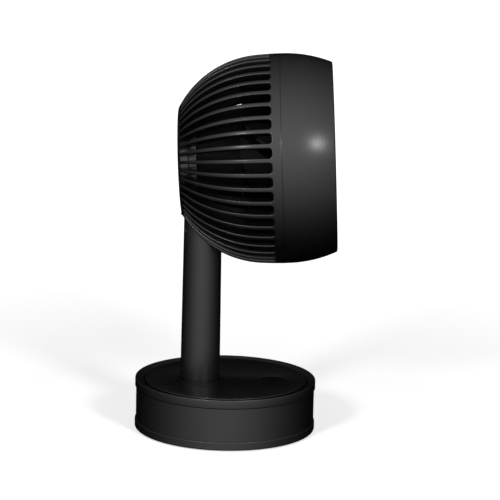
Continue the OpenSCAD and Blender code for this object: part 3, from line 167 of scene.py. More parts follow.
class Studio(bpy.types.PropertyGroup):
    """Where the camera stands, how it is aimed, and the strength of the lights."""

    camera: FloatVectorProperty(name="Camera", description="Place of the camera",
                                default=(-2.03372, -0.05848, 0.58057), subtype="TRANSLATION")
    pan: FloatProperty(name="Pan", description="Turn of the camera from the x axis",
                       default=radians(1.074), unit="ROTATION")
    dip: FloatProperty(name="Dip", description="How far the camera looks down",
                       default=radians(11.374), unit="ROTATION")
    roll: FloatProperty(name="Roll", description="Roll of the camera about its view",
                        default=radians(1.379), unit="ROTATION")
    lens: FloatProperty(name="Lens", description="Focal length on a 36 mm frame",
                        default=160.1, unit="CAMERA")
    key: FloatProperty(name="Key power", description="Power of each soft key light",
                       default=15.0, min=0, unit="POWER")
    glint: FloatProperty(name="Glint power", description="Power of each small glint light",
                         default=5.3, min=0, unit="POWER")
    tent: FloatProperty(name="Tent", description="Brightest part of the light tent",
                        default=1.95, min=0)
    fall: FloatProperty(name="Fall", description="How fast the light tent darkens sideways",
                        default=2.87, min=0)


# ---------------------------------------------------------------- shared steps

def body_of(node):
    """Name of the body that carries a CAD node."""
    for body, members in frame["record"]["behaviour"]["bodies"].items():
        if node in members:
            return body
    raise RuntimeError("no body carries " + node)


def section(bm, corners, closed=True):
    """Draws a section in the x, z plane from (radius, height, rounding) corners."""
    verts = [bm.verts.new((r, 0, z)) for r, z, _ in corners]
    edges = [bm.edges.new(pair) for pair in zip(verts, verts[1:])]
    if closed:
        edges.append(bm.edges.new((verts[-1], verts[0])))
    made = set(verts)
    for rounding in sorted({c[2] for c in corners if c[2] > 0}):
        picked = [v for v, c in zip(verts, corners) if c[2] == rounding]
        made.difference_update(picked)
        new = bmesh.ops.bevel(bm, geom=picked, offset=rounding, segments=4, profile=0.5,
                              affect="VERTICES", material=-1)
        made.update(new["verts"])
    verts = [v for v in made if v.is_valid]
    return verts + list({e for v in verts for e in v.link_edges})


def verts_in(geom):
    return [g for g in geom if isinstance(g, bmesh.types.BMVert)]


def everything(bm):
    return bm.verts[:] + bm.edges[:] + bm.faces[:]


def turn(bm, corners, steps=160, closed=True, centre=(0, 0, 0)):
    """Turns a section a full round about the z axis through the centre."""
    geom = section(bm, corners, closed)
    bmesh.ops.translate(bm, verts=verts_in(geom), vec=centre)
    bmesh.ops.spin(bm, geom=geom, cent=centre, axis=(0, 0, 1), angle=tau, steps=steps,
                   use_merge=True)


def repeat(bm, count):
    """Repeats all that the bmesh holds, evenly round the z axis."""
    bmesh.ops.spin(bm, geom=everything(bm), cent=(0, 0, 0), axis=(0, 0, 1),
                   angle=tau - tau / count, steps=count - 1, use_duplicate=True)


def at_screws(bm):
    """Moves a part made beside the x axis to the first screw and repeats it at the rest."""
    bmesh.ops.rotate(bm, cent=(0, 0, 0), matrix=Matrix.Rotation(FIRST_SCREW, 3, "Z"),
                     verts=bm.verts)
    repeat(bm, SCREWS)


def outward(bm):
    """Turns every face outwards."""
    bmesh.ops.recalc_face_normals(bm, faces=bm.faces)


def close(bm):
    """Merges doubles and turns every face outwards."""
    bmesh.ops.remove_doubles(bm, verts=bm.verts, dist=SMALL)
    bmesh.ops.dissolve_degenerate(bm, edges=bm.edges, dist=SMALL / 10)
    outward(bm)


def fill_cut(bm):
    """Fills the open ends that a cut has left."""
    open_edges = [e for e in bm.edges if len(e.link_faces) == 1]
    bmesh.ops.holes_fill(bm, edges=open_edges, sides=0)
    outward(bm)


def around(faces):
    """The faces with their edges and vertices, as the operators want them."""
    return (list({v for f in faces for v in f.verts} | {e for f in faces for e in f.edges})
            + faces)


def cut_away(bm, half, below=None):
    """Cuts the faces under the axis between x = -half and half away, up to z = below."""
    planes = [((side * half, 0, 0), (1, 0, 0)) for side in (-1, 1)]
    if below is not None:
        planes.append(((0, 0, below), (0, 0, 1)))
    for place, normal in planes:
        near = [f for f in bm.faces if f.calc_center_median().y < 0
                and abs(f.calc_center_median().x) < 2 * half]
        bmesh.ops.bisect_plane(bm, geom=around(near), dist=SMALL, plane_co=place,
                               plane_no=normal)
    gone = []
    for f in bm.faces:
        c = f.calc_center_median()
        if abs(c.x) < half and c.y < 0 and (below is None or c.z < below):
            gone.append(f)
    bmesh.ops.delete(bm, geom=gone, context="FACES")


def mesh_from(bm, name):
    """Turns a bmesh into a mesh and frees it."""
    mesh = bpy.data.meshes.new(name)
    bm.to_mesh(mesh)
    bm.free()
    return mesh


def put_in_scene(name, data):
    made = bpy.data.objects.new(name, data)
    bpy.context.scene.collection.objects.link(made)
    return made


def join(bm, part):
    """Adds one bmesh to another."""
    mesh = mesh_from(part, "part")
    bm.from_mesh(mesh)
    bpy.data.meshes.remove(mesh)


def sharp_edges(bm):
    return [e for e in bm.edges if len(e.link_faces) == 2 and e.calc_face_angle(0) > FOLD]


def finished(bm, name, slot, *nodes):
    """Turns a bmesh into a piece that stands for the given CAD nodes."""
    mesh = mesh_from(bm, name)
    mesh.shade_smooth()
    mesh.set_sharp_from_angle(angle=radians(40))
    mesh.materials.append(bpy.data.materials[slot])
    piece = put_in_scene(name, mesh)
    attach(piece, body_of(nodes[0]))
    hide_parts(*nodes)


def head_place(head):
    """Places a part modelled about the head's axis: z runs from rear to front."""
    return (Matrix.Translation(head.pivot) @ Matrix.Rotation(-head.tilt, 4, "X")
            @ Matrix.Rotation(pi / 2, 4, "X")
            @ Matrix.Translation((0, 0, -head.pivot_depth)))


# ---------------------------------------------------------------- the head's skin

class Skin:
    """The head's profile: arcs that give radius and depth at any inset. An arc is the depth
    it ends at, the radius and depth of its middle (no depth if it is straight) and its bend.
    """

    def __init__(self, head):
        r = head.diameter / 2
        self.shoulder_end = head.seam * SHOULDER_SHARE
        crown = r - head.crown_bend
        meet = crown + sqrt(head.crown_bend ** 2 - (head.seam - self.shoulder_end) ** 2)
        lean = head.shoulder_bend / head.crown_bend
        self.arcs = (
            (self.shoulder_end, meet - lean * (meet - crown),
             self.shoulder_end + lean * (head.seam - self.shoulder_end), head.shoulder_bend),
            (head.seam, crown, head.seam, head.crown_bend),
            (head.seam + head.front_flat, r - head.front_bend, None, head.front_bend),
            (head.depth, r - head.front_bend, head.seam + head.front_flat, head.front_bend),
        )

    def arc(self, s):
        for arc in self.arcs:
            if s <= arc[0] + SMALL:
                return arc
        return self.arcs[-1]

    def radius(self, s):
        _, x, y, bend = self.arc(s)
        return x + bend if y is None else x + sqrt(bend ** 2 - (s - y) ** 2)

    def sunk(self, s, inset):
        """Radius and depth of the point that lies the inset below the skin at s."""
        _, x, y, bend = self.arc(s)
        if y is None:
            return x + bend - inset, s
        share = inset / bend
        r = self.radius(s)
        return r - share * (r - x), s - share * (s - y)

    def stations(self, start, end, steps):
        """Depths from start to end at even turns along the arc they lie on."""
        _, _, y, bend = self.arc((start + end) / 2)
        a, b = asin((start - y) / bend), asin((end - y) / bend)
        return [y + bend * sin(a + (b - a) * i / steps) for i in range(steps + 1)]


def cage_cell(bm, head, skin):
    """Draws the face of one rib with its half slots flat: x across, y along."""
    band_s = head.seam - head.band_width
    band_r = skin.radius(band_s)
    hub_r = head.hub_inner + head.hub_wall
    half_pitch = pi * band_r / head.rib_count

    def half_width(s):
        r = skin.radius(max(s, 0))
        grow = (r - hub_r) / (head.diameter / 2 - hub_r)
        w = head.rib_inner_width + grow * (head.rib_outer_width - head.rib_inner_width)
        return w / 2 * band_r / r

    foot = hypot(skin.radius(0) - hub_r, head.hub_inset)
    turn_s = band_s - head.slot_round
    along = ([-foot] + skin.stations(0, skin.shoulder_end, SHOULDER_STEPS)
             + skin.stations(skin.shoulder_end, turn_s, 3)[1:])
    row = band_s + BAND_ROW
    rim = [(half_width(s), s) for s in along]
    spine = [(0, s) for s in along]
    edge = half_width(turn_s)
    steps, middle = 6, 3
    for i in range(1, steps + 1):
        a = pi / 2 * i / steps
        rim.append((edge + head.slot_round * (1 - cos(a)), turn_s + head.slot_round * sin(a)))
        if i <= middle:
            spine.append((0, turn_s + (row - turn_s) * i / middle))
        else:
            spine.append((half_pitch * (i - middle) / (steps - middle + 1), row))
    rim.append((half_pitch, band_s))
    spine.append((half_pitch, row))
    chains = []
    for points in (rim, spine):
        verts = [bm.verts.new((x, y, 0)) for x, y in points]
        chains += [bm.edges.new(pair) for pair in zip(verts, verts[1:])]
    bmesh.ops.bridge_loops(bm, edges=chains)
    deep_end = band_s + DEEP_END
    for depth in (deep_end, deep_end + APART, head.seam - SEAM_ROW, head.seam):
        level = max(v.co.y for v in bm.verts)
        top = [e for e in bm.edges if all(v.co.y > level - SMALL for v in e.verts)]
        new = bmesh.ops.extrude_edge_only(bm, edges=top)["geom"]
        bmesh.ops.translate(bm, verts=verts_in(new), vec=(0, depth - level, 0))
    bmesh.ops.mirror(bm, geom=everything(bm), matrix=Matrix(), merge_dist=SMALL, axis="X")
    return band_r


def on_skin(head, skin, s):
    """Radius and depth on the cage's outside; s below zero runs down the rear slope."""
    if s >= 0:
        return skin.radius(s), s
    rear_r = skin.radius(0)
    slope = atan2(head.hub_inset, rear_r - head.hub_inner)
    return rear_r + s * cos(slope), -s * sin(slope)


def thicken(bm, head, skin):
    """Gives the cage's faces their depth, square to the skin, and returns the outer edges
    that aren't at the seam."""
    deep_end = head.seam - head.band_width + DEEP_END
    rear_r = skin.radius(0)
    new = bmesh.ops.extrude_face_region(bm, geom=bm.faces[:])["geom"]
    inner = set(verts_in(new))
    for v in inner:
        r = hypot(v.co.x, v.co.y)
        if r < rear_r - SMALL and v.co.z < head.hub_inset:
            to_r, to_s = r - SLOPE_IN, v.co.z + SLOPE_ON
        else:
            deep = head.rib_depth if v.co.z < deep_end + SMALL else head.wall
            to_r, to_s = skin.sunk(v.co.z, deep)
        v.co = Vector((v.co.x * to_r / r, v.co.y * to_r / r, to_s))
    outward(bm)
    return [e for e in sharp_edges(bm)
            if not (inner & set(e.verts)) and e.verts[0].co.z < head.seam - SMALL]


def soften(bm, edges, offset, segments):
    bmesh.ops.bevel(bm, geom=edges, offset=offset, offset_type="OFFSET", segments=segments,
                    profile=0.5, affect="EDGES", clamp_overlap=False, material=-1)


# ---------------------------------------------------------------- finishes

class Tree:
    """Builds the nodes of a material, a node group or the world."""

    def __init__(self, tree):
        self.nodes, self.links = tree.nodes, tree.links

    def add(self, kind, inputs=(), operation=None):
        """Adds a node. Each input is a number or colour, or an output to link it to."""
        node = self.nodes.new(kind if kind.startswith("Node") else "ShaderNode" + kind)
        if operation:
            node.operation = operation
        for key, value in dict(inputs).items():
            self.set(node.inputs[key], value)
        return node

    def set(self, socket, value):
        if isinstance(value, bpy.types.NodeSocket):
            self.links.new(value, socket)
        else:
            socket.default_value = value

    def maths(self, operation, a, b):
        return self.add("Math", {0: a, 1: b}, operation).outputs[0]

    def spread(self, value, low, high, start, end):
        """Takes a value from the range start to end to the range low to high."""
        return self.add("MapRange", {"Value": value, "To Min": low, "To Max": high,
                                     "From Min": start, "From Max": end}).outputs["Result"]


def surface_group(name, inputs):
    """Starts a node group with a place, a colour, a roughness and the inputs given, and
    returns its tree and the values that come in."""
    group = bpy.data.node_groups.new(name, "ShaderNodeTree")
    inputs = {"Place": None, "Colour": (0.03, 0.03, 0.03, 1), "Roughness": 0.4, **inputs}
    kinds = {"Place": "Vector", "Colour": "Color", "Stretch": "Vector"}
    for key, default in inputs.items():
        made = group.interface.new_socket(key, in_out="INPUT",
                                          socket_type="NodeSocket" + kinds.get(key, "Float"))
        if default is not None:
            made.default_value = default
    for key in ("Colour", "Roughness", "Height"):
        group.interface.new_socket(key, in_out="OUTPUT",
                                   socket_type="NodeSocket" + kinds.get(key, "Float"))
    tree = Tree(group)
    return tree, tree.add("NodeGroupInput").outputs


def moulded_surface():
    """Node group: fine moulded texture, slow tone changes and a little settled dust."""
    tree, get = surface_group("moulded_surface",
                              {"Texture scale": 1500.0, "Tone": 0.15, "Dust": 0.0})
    cloud_scale, speck_scale = 38.0, 900.0
    cloud_rough, grain_rough = 0.05, 0.01
    dust_colour = (0.16, 0.155, 0.15, 1)

    def noise(scale, detail, roughness=0.5):
        return tree.add("TexNoise", {"Detail": detail, "Roughness": roughness, "Scale": scale,
                                     "Vector": get["Place"]}).outputs["Fac"]

    def centred(value, reach):
        """Spreads noise, which lies mostly between 0.3 and 0.7, evenly about zero."""
        return tree.spread(value, -reach, reach, 0.3, 0.7)

    grain = noise(get["Texture scale"], 2.0, 0.6)
    tone = tree.maths("MULTIPLY", centred(noise(cloud_scale, 3.0), 1.0), get["Tone"])
    grain_tone = tree.maths("MULTIPLY", centred(grain, 0.5), get["Tone"])
    level = tree.maths("ADD", tree.maths("ADD", tone, grain_tone), 1.0)
    colour = tree.add("VectorMath", {0: get["Colour"], "Scale": level}, "SCALE")
    specks = tree.spread(noise(speck_scale, 1.0), 0.0, 1.0, 0.66, 0.76)
    dusty = tree.add("Mix")
    dusty.data_type = "RGBA"
    for key, value in (("Factor", tree.maths("MULTIPLY", specks, get["Dust"])),
                       ("A", colour.outputs[0]), ("B", dust_colour)):
        tree.set(dusty.inputs[key], value)
    rough = tree.maths("ADD", tree.maths("MULTIPLY", tone, cloud_rough), get["Roughness"])
    rough = tree.maths("ADD", tree.maths("MULTIPLY", centred(grain, 1.0), grain_rough), rough)
    tree.add("NodeGroupOutput", {"Colour": dusty.outputs["Result"], "Roughness": rough,
                                 "Height": grain})


def metal_surface():
    """Node group: fine drawn lines and tone changes of plated or cast metal."""
    tree, get = surface_group("metal_surface", {"Stretch": (1, 1, 1)})
    line_scale, darkest, lightest = 1200.0, 0.82, 1.12
    stretch = tree.add("VectorMath", {0: get["Place"], 1: get["Stretch"]}, "MULTIPLY")
    lines = tree.add("TexNoise", {"Scale": line_scale, "Detail": 4.0,
                                  "Vector": stretch.outputs[0]}).outputs["Fac"]
    tone = tree.spread(lines, darkest, lightest, 0.0, 1.0)
    colour = tree.add("VectorMath", {0: get["Colour"], "Scale": tone}, "SCALE")
    rough = tree.maths("MULTIPLY", get["Roughness"], tone)
    tree.add("NodeGroupOutput", {"Colour": colour.outputs[0], "Roughness": rough,
                                 "Height": lines})


def material(name, group, values, bump, metallic=0.0, specular=0.5):
    """A Principled material whose colour, roughness and bump come from a node group. It
    takes the place of the frame's plain one of the same name."""
    plain = bpy.data.materials.get(name)
    if plain:
        bpy.data.materials.remove(plain)
    mat = bpy.data.materials.new(name)
    mat.use_nodes = True
    tree = Tree(mat.node_tree)
    surface = tree.add("Group")
    surface.node_tree = bpy.data.node_groups[group]
    place = tree.add("TexCoord").outputs["Object"]
    for key, value in {"Place": place, **values}.items():
        tree.set(surface.inputs[key], value)
    relief = tree.add("Bump", {"Strength": 0.5, "Distance": bump,
                               "Height": surface.outputs["Height"]})
    shader = tree.nodes["Principled BSDF"]
    for key, value in (("Metallic", metallic), ("Specular IOR Level", specular),
                       ("Base Color", surface.outputs["Colour"]),
                       ("Roughness", surface.outputs["Roughness"]),
                       ("Normal", relief.outputs["Normal"])):
        tree.set(shader.inputs[key], value)


class CIRCULATOR_OT_finishes(bpy.types.Operator):
    """Makes every finish and puts it on the parts that keep their solid's shape"""

    bl_idname = "circulator.finishes"
    bl_label = "Finishes"

    def execute(self, context):
        finish = context.scene.circulator_finishes
        moulded_surface()
        metal_surface()

        def plastic(name, colour, roughness, scale=1500.0, tone=0.15, dust=0.0, bump=0.0000015,
                    specular=0.5):
            material(name, "moulded_surface",
                     {"Colour": (*colour, 1), "Roughness": roughness, "Texture scale": scale,
                      "Tone": tone, "Dust": dust}, bump, specular=specular)

        def metal(name, colour, roughness, stretch=(1, 1, 1), bump=0.00002):
            material(name, "metal_surface",
                     {"Colour": (*colour, 1), "Roughness": roughness, "Stretch": stretch},
                     bump, metallic=1.0)

        plastic("satin_black", finish.shell, 0.28, dust=0.004)
        # inner_black: the inner parts' black plastic, darkened further and given almost no gloss
        # as painted shade for the head's shaded inside
        plastic("inner_black", finish.inner, 0.5, tone=0.1, specular=0.05)
        # impeller_black: the impeller's black plastic, darkened further and given little gloss as
        # painted shade for the head's shaded inside
        plastic("impeller_black", finish.impeller, 0.45, scale=1100.0, specular=0.08)
        plastic("rubber", (0.018, 0.018, 0.018), 0.85, scale=700.0, tone=0.25, bump=0.00003)
        plastic("acetal", (0.80, 0.79, 0.74), 0.45, scale=900.0, tone=0.03)
        plastic("board", (0.015, 0.13, 0.06), 0.35, scale=320.0, tone=0.3)
        metal("steel", (0.60, 0.60, 0.62), 0.28)
        metal("ballast_steel", (0.42, 0.42, 0.44), 0.5, (0.1, 1, 1))
        metal("zinc", (0.50, 0.51, 0.53), 0.45)
        metal("contact_brass", (0.80, 0.60, 0.28), 0.25)
        metal("winding", (0.65, 0.30, 0.14), 0.35, (1, 1, 0.15), 0.0001)
        slots = {sub["node"]: sub["material_slot"] for sub in frame["record"]["subparts"]}
        for node, part in frame["nodes"].items():
            part.data.materials.clear()
            part.data.materials.append(bpy.data.materials[slots[node]])
        return {"FINISHED"}


# ---------------------------------------------------------------- pieces of the head

class CIRCULATOR_OT_cage(bpy.types.Operator):
    """Models the rear cage: ribs, band, rails of the pole's slot and hub ring"""

    bl_idname = "circulator.cage"
    bl_label = "Rear cage"

    def execute(self, context):
        head = context.scene.circulator_head
        skin = Skin(head)
        bm = bmesh.new()
        self.ribs(bm, head, skin)
        self.rails(bm, head, skin)
        self.hub(bm, head, skin)
        self.rim(bm, head, skin)
        self.joint(bm, head)
        bm.transform(head_place(head))
        finished(bm, "rear_cage", "satin_black", "rear_grille")
        return {"FINISHED"}

    def ribs(self, bm, head, skin):
        """The ribs with the band and the seam's edge, cut open for the pole."""
        band_s = head.seam - head.band_width
        band_r = cage_cell(bm, head, skin)
        for v in bm.verts:
            angle = v.co.x / band_r
            r, s = on_skin(head, skin, v.co.y)
            v.co = Vector((r * cos(angle), r * sin(angle), s))
        repeat(bm, head.rib_count)
        bmesh.ops.remove_doubles(bm, verts=bm.verts, dist=SMALL)
        cut_away(bm, head.pole_slot / 2 + head.rail / 2, band_s)
        soften(bm, thicken(bm, head, skin), head.rib_round, 3)
        seam = [e for e in sharp_edges(bm)
                if all(abs(v.co.z - head.seam) < SMALL for v in e.verts)
                and hypot(*e.verts[0].co[:2]) > head.diameter / 2 - head.wall / 2]
        soften(bm, seam, SEAM_ROUND, 2)

    def rails(self, bm, head, skin):
        """The two rails beside the pole's slot, a little proud of the cut ribs and band."""
        band_s = head.seam - head.band_width
        near, far = head.pole_slot / 2, head.pole_slot / 2 + head.rail
        hub_r = head.hub_inner + head.hub_wall
        over, proud = 0.002, 0.00005
        along = ([-hypot(skin.radius(0) - hub_r, head.hub_inset)]
                 + skin.stations(0, skin.shoulder_end, SHOULDER_STEPS)
                 + skin.stations(skin.shoulder_end, band_s + over, 4)[1:])
        part = bmesh.new()
        verts = [part.verts.new((near, 0, s)) for s in along]
        edges = [part.edges.new(pair) for pair in zip(verts, verts[1:])]
        new = bmesh.ops.extrude_edge_only(part, edges=edges)["geom"]
        bmesh.ops.translate(part, vec=(far - near, 0, 0), verts=verts_in(new))
        for v in part.verts:
            r, s = on_skin(head, skin, v.co.z)
            v.co = Vector((v.co.x, -sqrt((r + proud) ** 2 - v.co.x ** 2), s))
        thicken(part, head, skin)
        outer = [e for e in sharp_edges(part) if self.on_outside(e, skin, head)]
        soften(part, outer, head.rib_round, 3)
        bmesh.ops.mirror(part, geom=everything(part), matrix=Matrix(), merge_dist=0, axis="X")
        outward(part)
        join(bm, part)

    def on_outside(self, edge, skin, head):
        """Whether an edge of a rail lies on the cage's outside or on its rear slope."""
        near = 0.0005
        return all(v.co.z <= head.hub_inset
                   or hypot(v.co.x, v.co.y) >= skin.radius(v.co.z) - near for v in edge.verts)

    def hub(self, bm, head, skin):
        """The hub ring with its flange to the motor pod, open where the pole comes in."""
        inner, outer = head.hub_inner, head.hub_inner + head.hub_wall
        rear, top = head.hub_inset, head.hub_inset + head.hub_height
        slope = rear / (skin.radius(0) - inner)
        reach = outer + 0.001
        reach_s, neck_s = 0.0095, 0.0102
        flange_r, flange_s = inner - 0.0088, rear + 0.0022
        flange_top = flange_s + 0.0026
        half_opening = 0.014
        part = bmesh.new()
        turn(part, [(inner, rear, 0.0004), (reach, rear - slope * (reach - inner), 0),
                    (reach, reach_s, 0.0004), (outer, neck_s, 0), (outer, top, 0.0008),
                    (inner, top, 0.0008), (inner, flange_top, 0),
                    (flange_r, flange_top, 0.0004), (flange_r, flange_s, 0.0004),
                    (inner, flange_s, 0)], steps=ROUND_STEPS)
        outward(part)
        cut_away(part, half_opening)
        fill_cut(part)
        join(bm, part)

    def rim(self, bm, head, skin):
        """The thin rim that joins the ribs at the rear, open at the pole's slot."""
        rear_r, thick, sunk = skin.radius(0), 0.0024, 0.0002
        slope = head.hub_inset / (rear_r - head.hub_inner)
        part = bmesh.new()
        turn(part, [(rear_r - sunk, 0, 0.0003), (skin.radius(thick) - sunk, thick, 0.0002),
                    (rear_r - thick / slope, thick, 0.0002)], steps=ROUND_STEPS)
        outward(part)
        cut_away(part, head.pole_slot / 2 + head.rail / 2)
        fill_cut(part)
        join(bm, part)

    def joint(self, bm, head):
        """The tongue that the front shell slides over, and the screw tabs on it."""
        outer = head.diameter / 2 - head.wall - APART
        inner, root = outer - 0.0014, outer + 0.0006
        start, end = head.seam - 0.001, head.seam + 0.004
        part = bmesh.new()
        turn(part, [(inner, start, 0.0003), (root, start, 0), (root, head.seam - 0.0002, 0),
                    (outer, head.seam, 0), (outer, end, 0.0004), (inner, end, 0.0004)],
             steps=ROUND_STEPS)
        outward(part)
        join(bm, part)
        tab, tab_size, tab_r, tab_rise = bmesh.new(), (0.007, 0.008, 0.002), 0.0905, 0.002
        bmesh.ops.create_cube(tab, size=1.0)
        bmesh.ops.scale(tab, vec=tab_size, verts=tab.verts)
        bmesh.ops.translate(tab, vec=(tab_r, 0, head.seam + tab_rise), verts=tab.verts)
        soften(tab, tab.edges[:], 0.0004, 2)
        at_screws(tab)
        join(bm, tab)


class CIRCULATOR_OT_front_shell(bpy.types.Operator):
    """Models the smooth front shell with its rounded lip and screw bosses"""

    bl_idname = "circulator.front_shell"
    bl_label = "Front shell"

    def execute(self, context):
        head = context.scene.circulator_head
        skin = Skin(head)
        r = head.diameter / 2
        flat_end = head.seam + head.front_flat
        outside = [(skin.radius(s), s, 0) for s in skin.stations(flat_end, head.depth, 24)]
        outside[-1] = (*outside[-1][:2], 0.0012)
        lip_s, corner = head.depth - head.lip, 0.0008
        inside = [(*skin.sunk(s, head.wall), 0)
                  for s in reversed(skin.stations(flat_end, lip_s - corner, 12))]
        corners = ([(r, head.seam, SEAM_ROUND)] + outside
                   + [(head.duct_radius, head.depth, 0.0008), (head.duct_radius, lip_s, 0)]
                   + [(inside[0][0] + corner / 2, lip_s, 0)] + inside
                   + [(r - head.wall, head.seam, 0.0003)])
        bm = bmesh.new()
        turn(bm, corners, steps=ROUND_STEPS)
        outward(bm)
        self.bosses(bm, head)
        bm.transform(head_place(head))
        finished(bm, "front_cover", "satin_black", "front_shell")
        return {"FINISHED"}

    def bosses(self, bm, head):
        """The six bosses that the shell screws bite in, each with its blind hole."""
        radius, wall, height, hole_depth = 0.0034, 0.0019, 0.018, 0.006
        place_r, start = 0.09015, head.seam + 0.005
        boss = bmesh.new()
        bmesh.ops.create_cone(boss, cap_ends=True, segments=24, radius1=radius,
                              radius2=radius, depth=height)
        bmesh.ops.translate(boss, vec=(place_r, 0, start + height / 2), verts=boss.verts)
        rear = [f for f in boss.faces if f.normal.z < -0.9]
        bmesh.ops.inset_region(boss, faces=rear, thickness=wall)
        rear = [f for f in boss.faces if f.normal.z < -0.9 and len(f.verts) > 4]
        hole = bmesh.ops.extrude_face_region(boss, geom=rear)["geom"]
        bmesh.ops.delete(boss, geom=rear, context="FACES")
        bmesh.ops.translate(boss, vec=(0, 0, hole_depth), verts=verts_in(hole))
        at_screws(boss)
        join(bm, boss)


class CIRCULATOR_OT_front_grille(bpy.types.Operator):
    """Models the front grille's curved ribs and rings, and the domed centre cap"""

    bl_idname = "circulator.front_grille"
    bl_label = "Front grille"

    def execute(self, context):
        head = context.scene.circulator_head
        front = head.depth - head.grille_inset
        rear = front - head.grille_depth
        bm = bmesh.new()
        self.rib(bm, head, rear, front)
        repeat(bm, head.grille_ribs)
        ring, gap = 2 * head.grille_rib, 0.0003
        for r in (head.duct_radius - gap, head.cap_radius):
            turn(bm, [(r - ring, rear, 0.0005), (r, rear, 0.0005), (r, front, 0.0007),
                      (r - ring, front, 0.0007)])
        outward(bm)
        bm.transform(head_place(head))
        finished(bm, "outlet_grille", "satin_black", "front_grille")
        self.cap(head, ring, rear, front)
        return {"FINISHED"}

    def cap(self, head, ring, rear, front):
        """The domed cap, which stands on the inner ring and reaches down inside it."""
        dome = ((0, 0), (0.30, 0.00006), (0.55, 0.00024), (0.78, 0.0006))
        r, stem = head.cap_radius, head.cap_radius - ring - APART
        top, edge, seat = head.depth - 0.0005, front + 0.0008, front + 0.00002
        bm = bmesh.new()
        turn(bm, [(r * share, top - fall, 0) for share, fall in dome]
             + [(r, edge, 0.0008), (r, seat, 0), (stem, seat, 0), (stem, rear, 0.0004),
                (0, rear, 0)], steps=96, closed=False)
        close(bm)
        bm.transform(head_place(head))
        finished(bm, "grille_cap", "satin_black", "centre_cap")

    def rib(self, bm, head, rear, front):
        """One curved rib: its section swung about the middle of its bend."""
        into_inner, into_outer = 0.001, 0.0017
        start_r, end_r = head.cap_radius - into_inner, head.duct_radius - into_outer
        bend = head.grille_bend
        centre = Vector((start_r / 2, -sqrt(bend ** 2 - start_r ** 2 / 4), 0))
        lean = atan2(-centre.y, centre.x)
        sweep = 2 * (asin(end_r / bend / 2) - asin(start_r / bend / 2))
        half = head.grille_rib / 2
        corners = [(bend - half, rear, 0.0004), (bend + half, rear, 0.0004),
                   (bend + half, front, 0.0006), (bend - half, front, 0.0006)]
        geom = section(bm, corners)
        face = bmesh.ops.contextual_create(bm, geom=geom)["faces"]
        verts = verts_in(geom)
        bmesh.ops.rotate(bm, cent=(0, 0, 0), matrix=Matrix.Rotation(lean, 3, "Z"),
                         verts=verts)
        bmesh.ops.translate(bm, vec=centre, verts=verts)
        bmesh.ops.spin(bm, geom=geom + face, cent=centre, axis=(0, 0, 1), angle=-sweep,
                       steps=20)


# ---------------------------------------------------------------- pieces of the base

class CIRCULATOR_OT_base_top(bpy.types.Operator):
    """Models the turning top ring, the plate with its two holes, and the button"""

    bl_idname = "circulator.base_top"
    bl_label = "Base top"

    def execute(self, context):
        base = context.scene.circulator_base
        self.ring(base)
        self.plate(base)
        self.button(base)
        return {"FINISHED"}

    def ring(self, base):
        """The top ring, hollow from below between its ledge and its outer wall."""
        r, top = base.diameter / 2, base.height
        ledge = top - base.ring_height
        ledge_top = ledge + base.ledge_thickness
        groove_r = r - base.rim
        hollow_in, hollow_out, hollow_top = groove_r + 0.003, r - 0.0024, ledge + 0.004
        bm = bmesh.new()
        turn(bm, [(base.ledge_radius, ledge, 0.0003), (hollow_in, ledge, 0),
                  (hollow_in, hollow_top, 0), (hollow_out, hollow_top, 0),
                  (hollow_out, ledge, 0.0002), (r, ledge, 0.0005),
                  (r, top, base.ring_round), (r - base.ring_round, top, 0.0004),
                  (groove_r, top - base.rim_fall, 0.0004), (groove_r, ledge_top, 0.0002),
                  (base.ledge_radius, ledge_top, 0.0003)], steps=BASE_STEPS)
        close(bm)
        finished(bm, "turning_ring", "satin_black", "top_ring")

    def plate(self, base):
        """A disc with two holes, filled between its circles and thickened downwards."""
        r = base.diameter / 2 - base.rim - base.groove
        top = base.height - base.plate_drop
        holes = (((0, base.pole_back), base.pole_hole),
                 ((0, -base.button_front), base.button_radius + base.button_gap))
        bm = bmesh.new()
        edges = []
        for (x, y), size in (((0, 0), r),) + holes:
            new = bmesh.ops.create_circle(bm, segments=BASE_STEPS if size == r else 96,
                                          radius=size)["verts"]
            bmesh.ops.translate(bm, vec=(x, y, top), verts=new)
            edges += list({e for v in new for e in v.link_edges})
        bmesh.ops.triangle_fill(bm, use_beauty=True, edges=edges)
        outward(bm)
        if bm.faces[0].normal.z < 0:
            bmesh.ops.reverse_faces(bm, faces=bm.faces)
        new = bmesh.ops.extrude_face_region(bm, geom=bm.faces[:])["geom"]
        bmesh.ops.translate(bm, vec=(0, 0, -base.plate_thickness), verts=verts_in(new))
        outward(bm)
        rim = [e for e in sharp_edges(bm) if e.verts[0].co.z > top - SMALL]
        outer = [e for e in rim if hypot(*e.verts[0].co[:2]) > r - 0.001]
        inner = [e for e in rim if e not in outer]
        soften(bm, outer, base.plate_bevel, 4)
        soften(bm, [e for e in inner if e.is_valid], 0.0003, 2)
        skirt = bmesh.new()
        foot = base.height - base.ring_height + base.ledge_thickness
        end = top - base.plate_thickness + APART
        turn(skirt, [(r - base.skirt, foot, 0.0002), (r, foot, 0.0002), (r, end, 0),
                     (r - base.skirt, end, 0)], steps=BASE_STEPS)
        outward(skirt)
        join(bm, skirt)
        finished(bm, "cover_plate", "satin_black", "top_plate")

    def button(self, base):
        """The button, slightly dished, with the flange that holds it under the plate."""
        r, dish = base.button_radius, ((0, 0.0001), (0.5, 0.00006), (0.8, 0))
        top = base.height - base.plate_drop + base.button_stand
        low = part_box("power_button")[0].z
        flange_r, flange_top = r + 0.0015, low + 0.0007
        bm = bmesh.new()
        turn(bm, [(r * share, top - fall, 0) for share, fall in dish]
             + [(r, top, 0.0006), (r, flange_top, 0), (flange_r, flange_top, 0.0002),
                (flange_r, low, 0.0002), (0, low, 0)],
             steps=96, closed=False, centre=(0, -base.button_front, 0))
        close(bm)
        finished(bm, "touch_button", "inner_black", "power_button")


# ---------------------------------------------------------------- stage

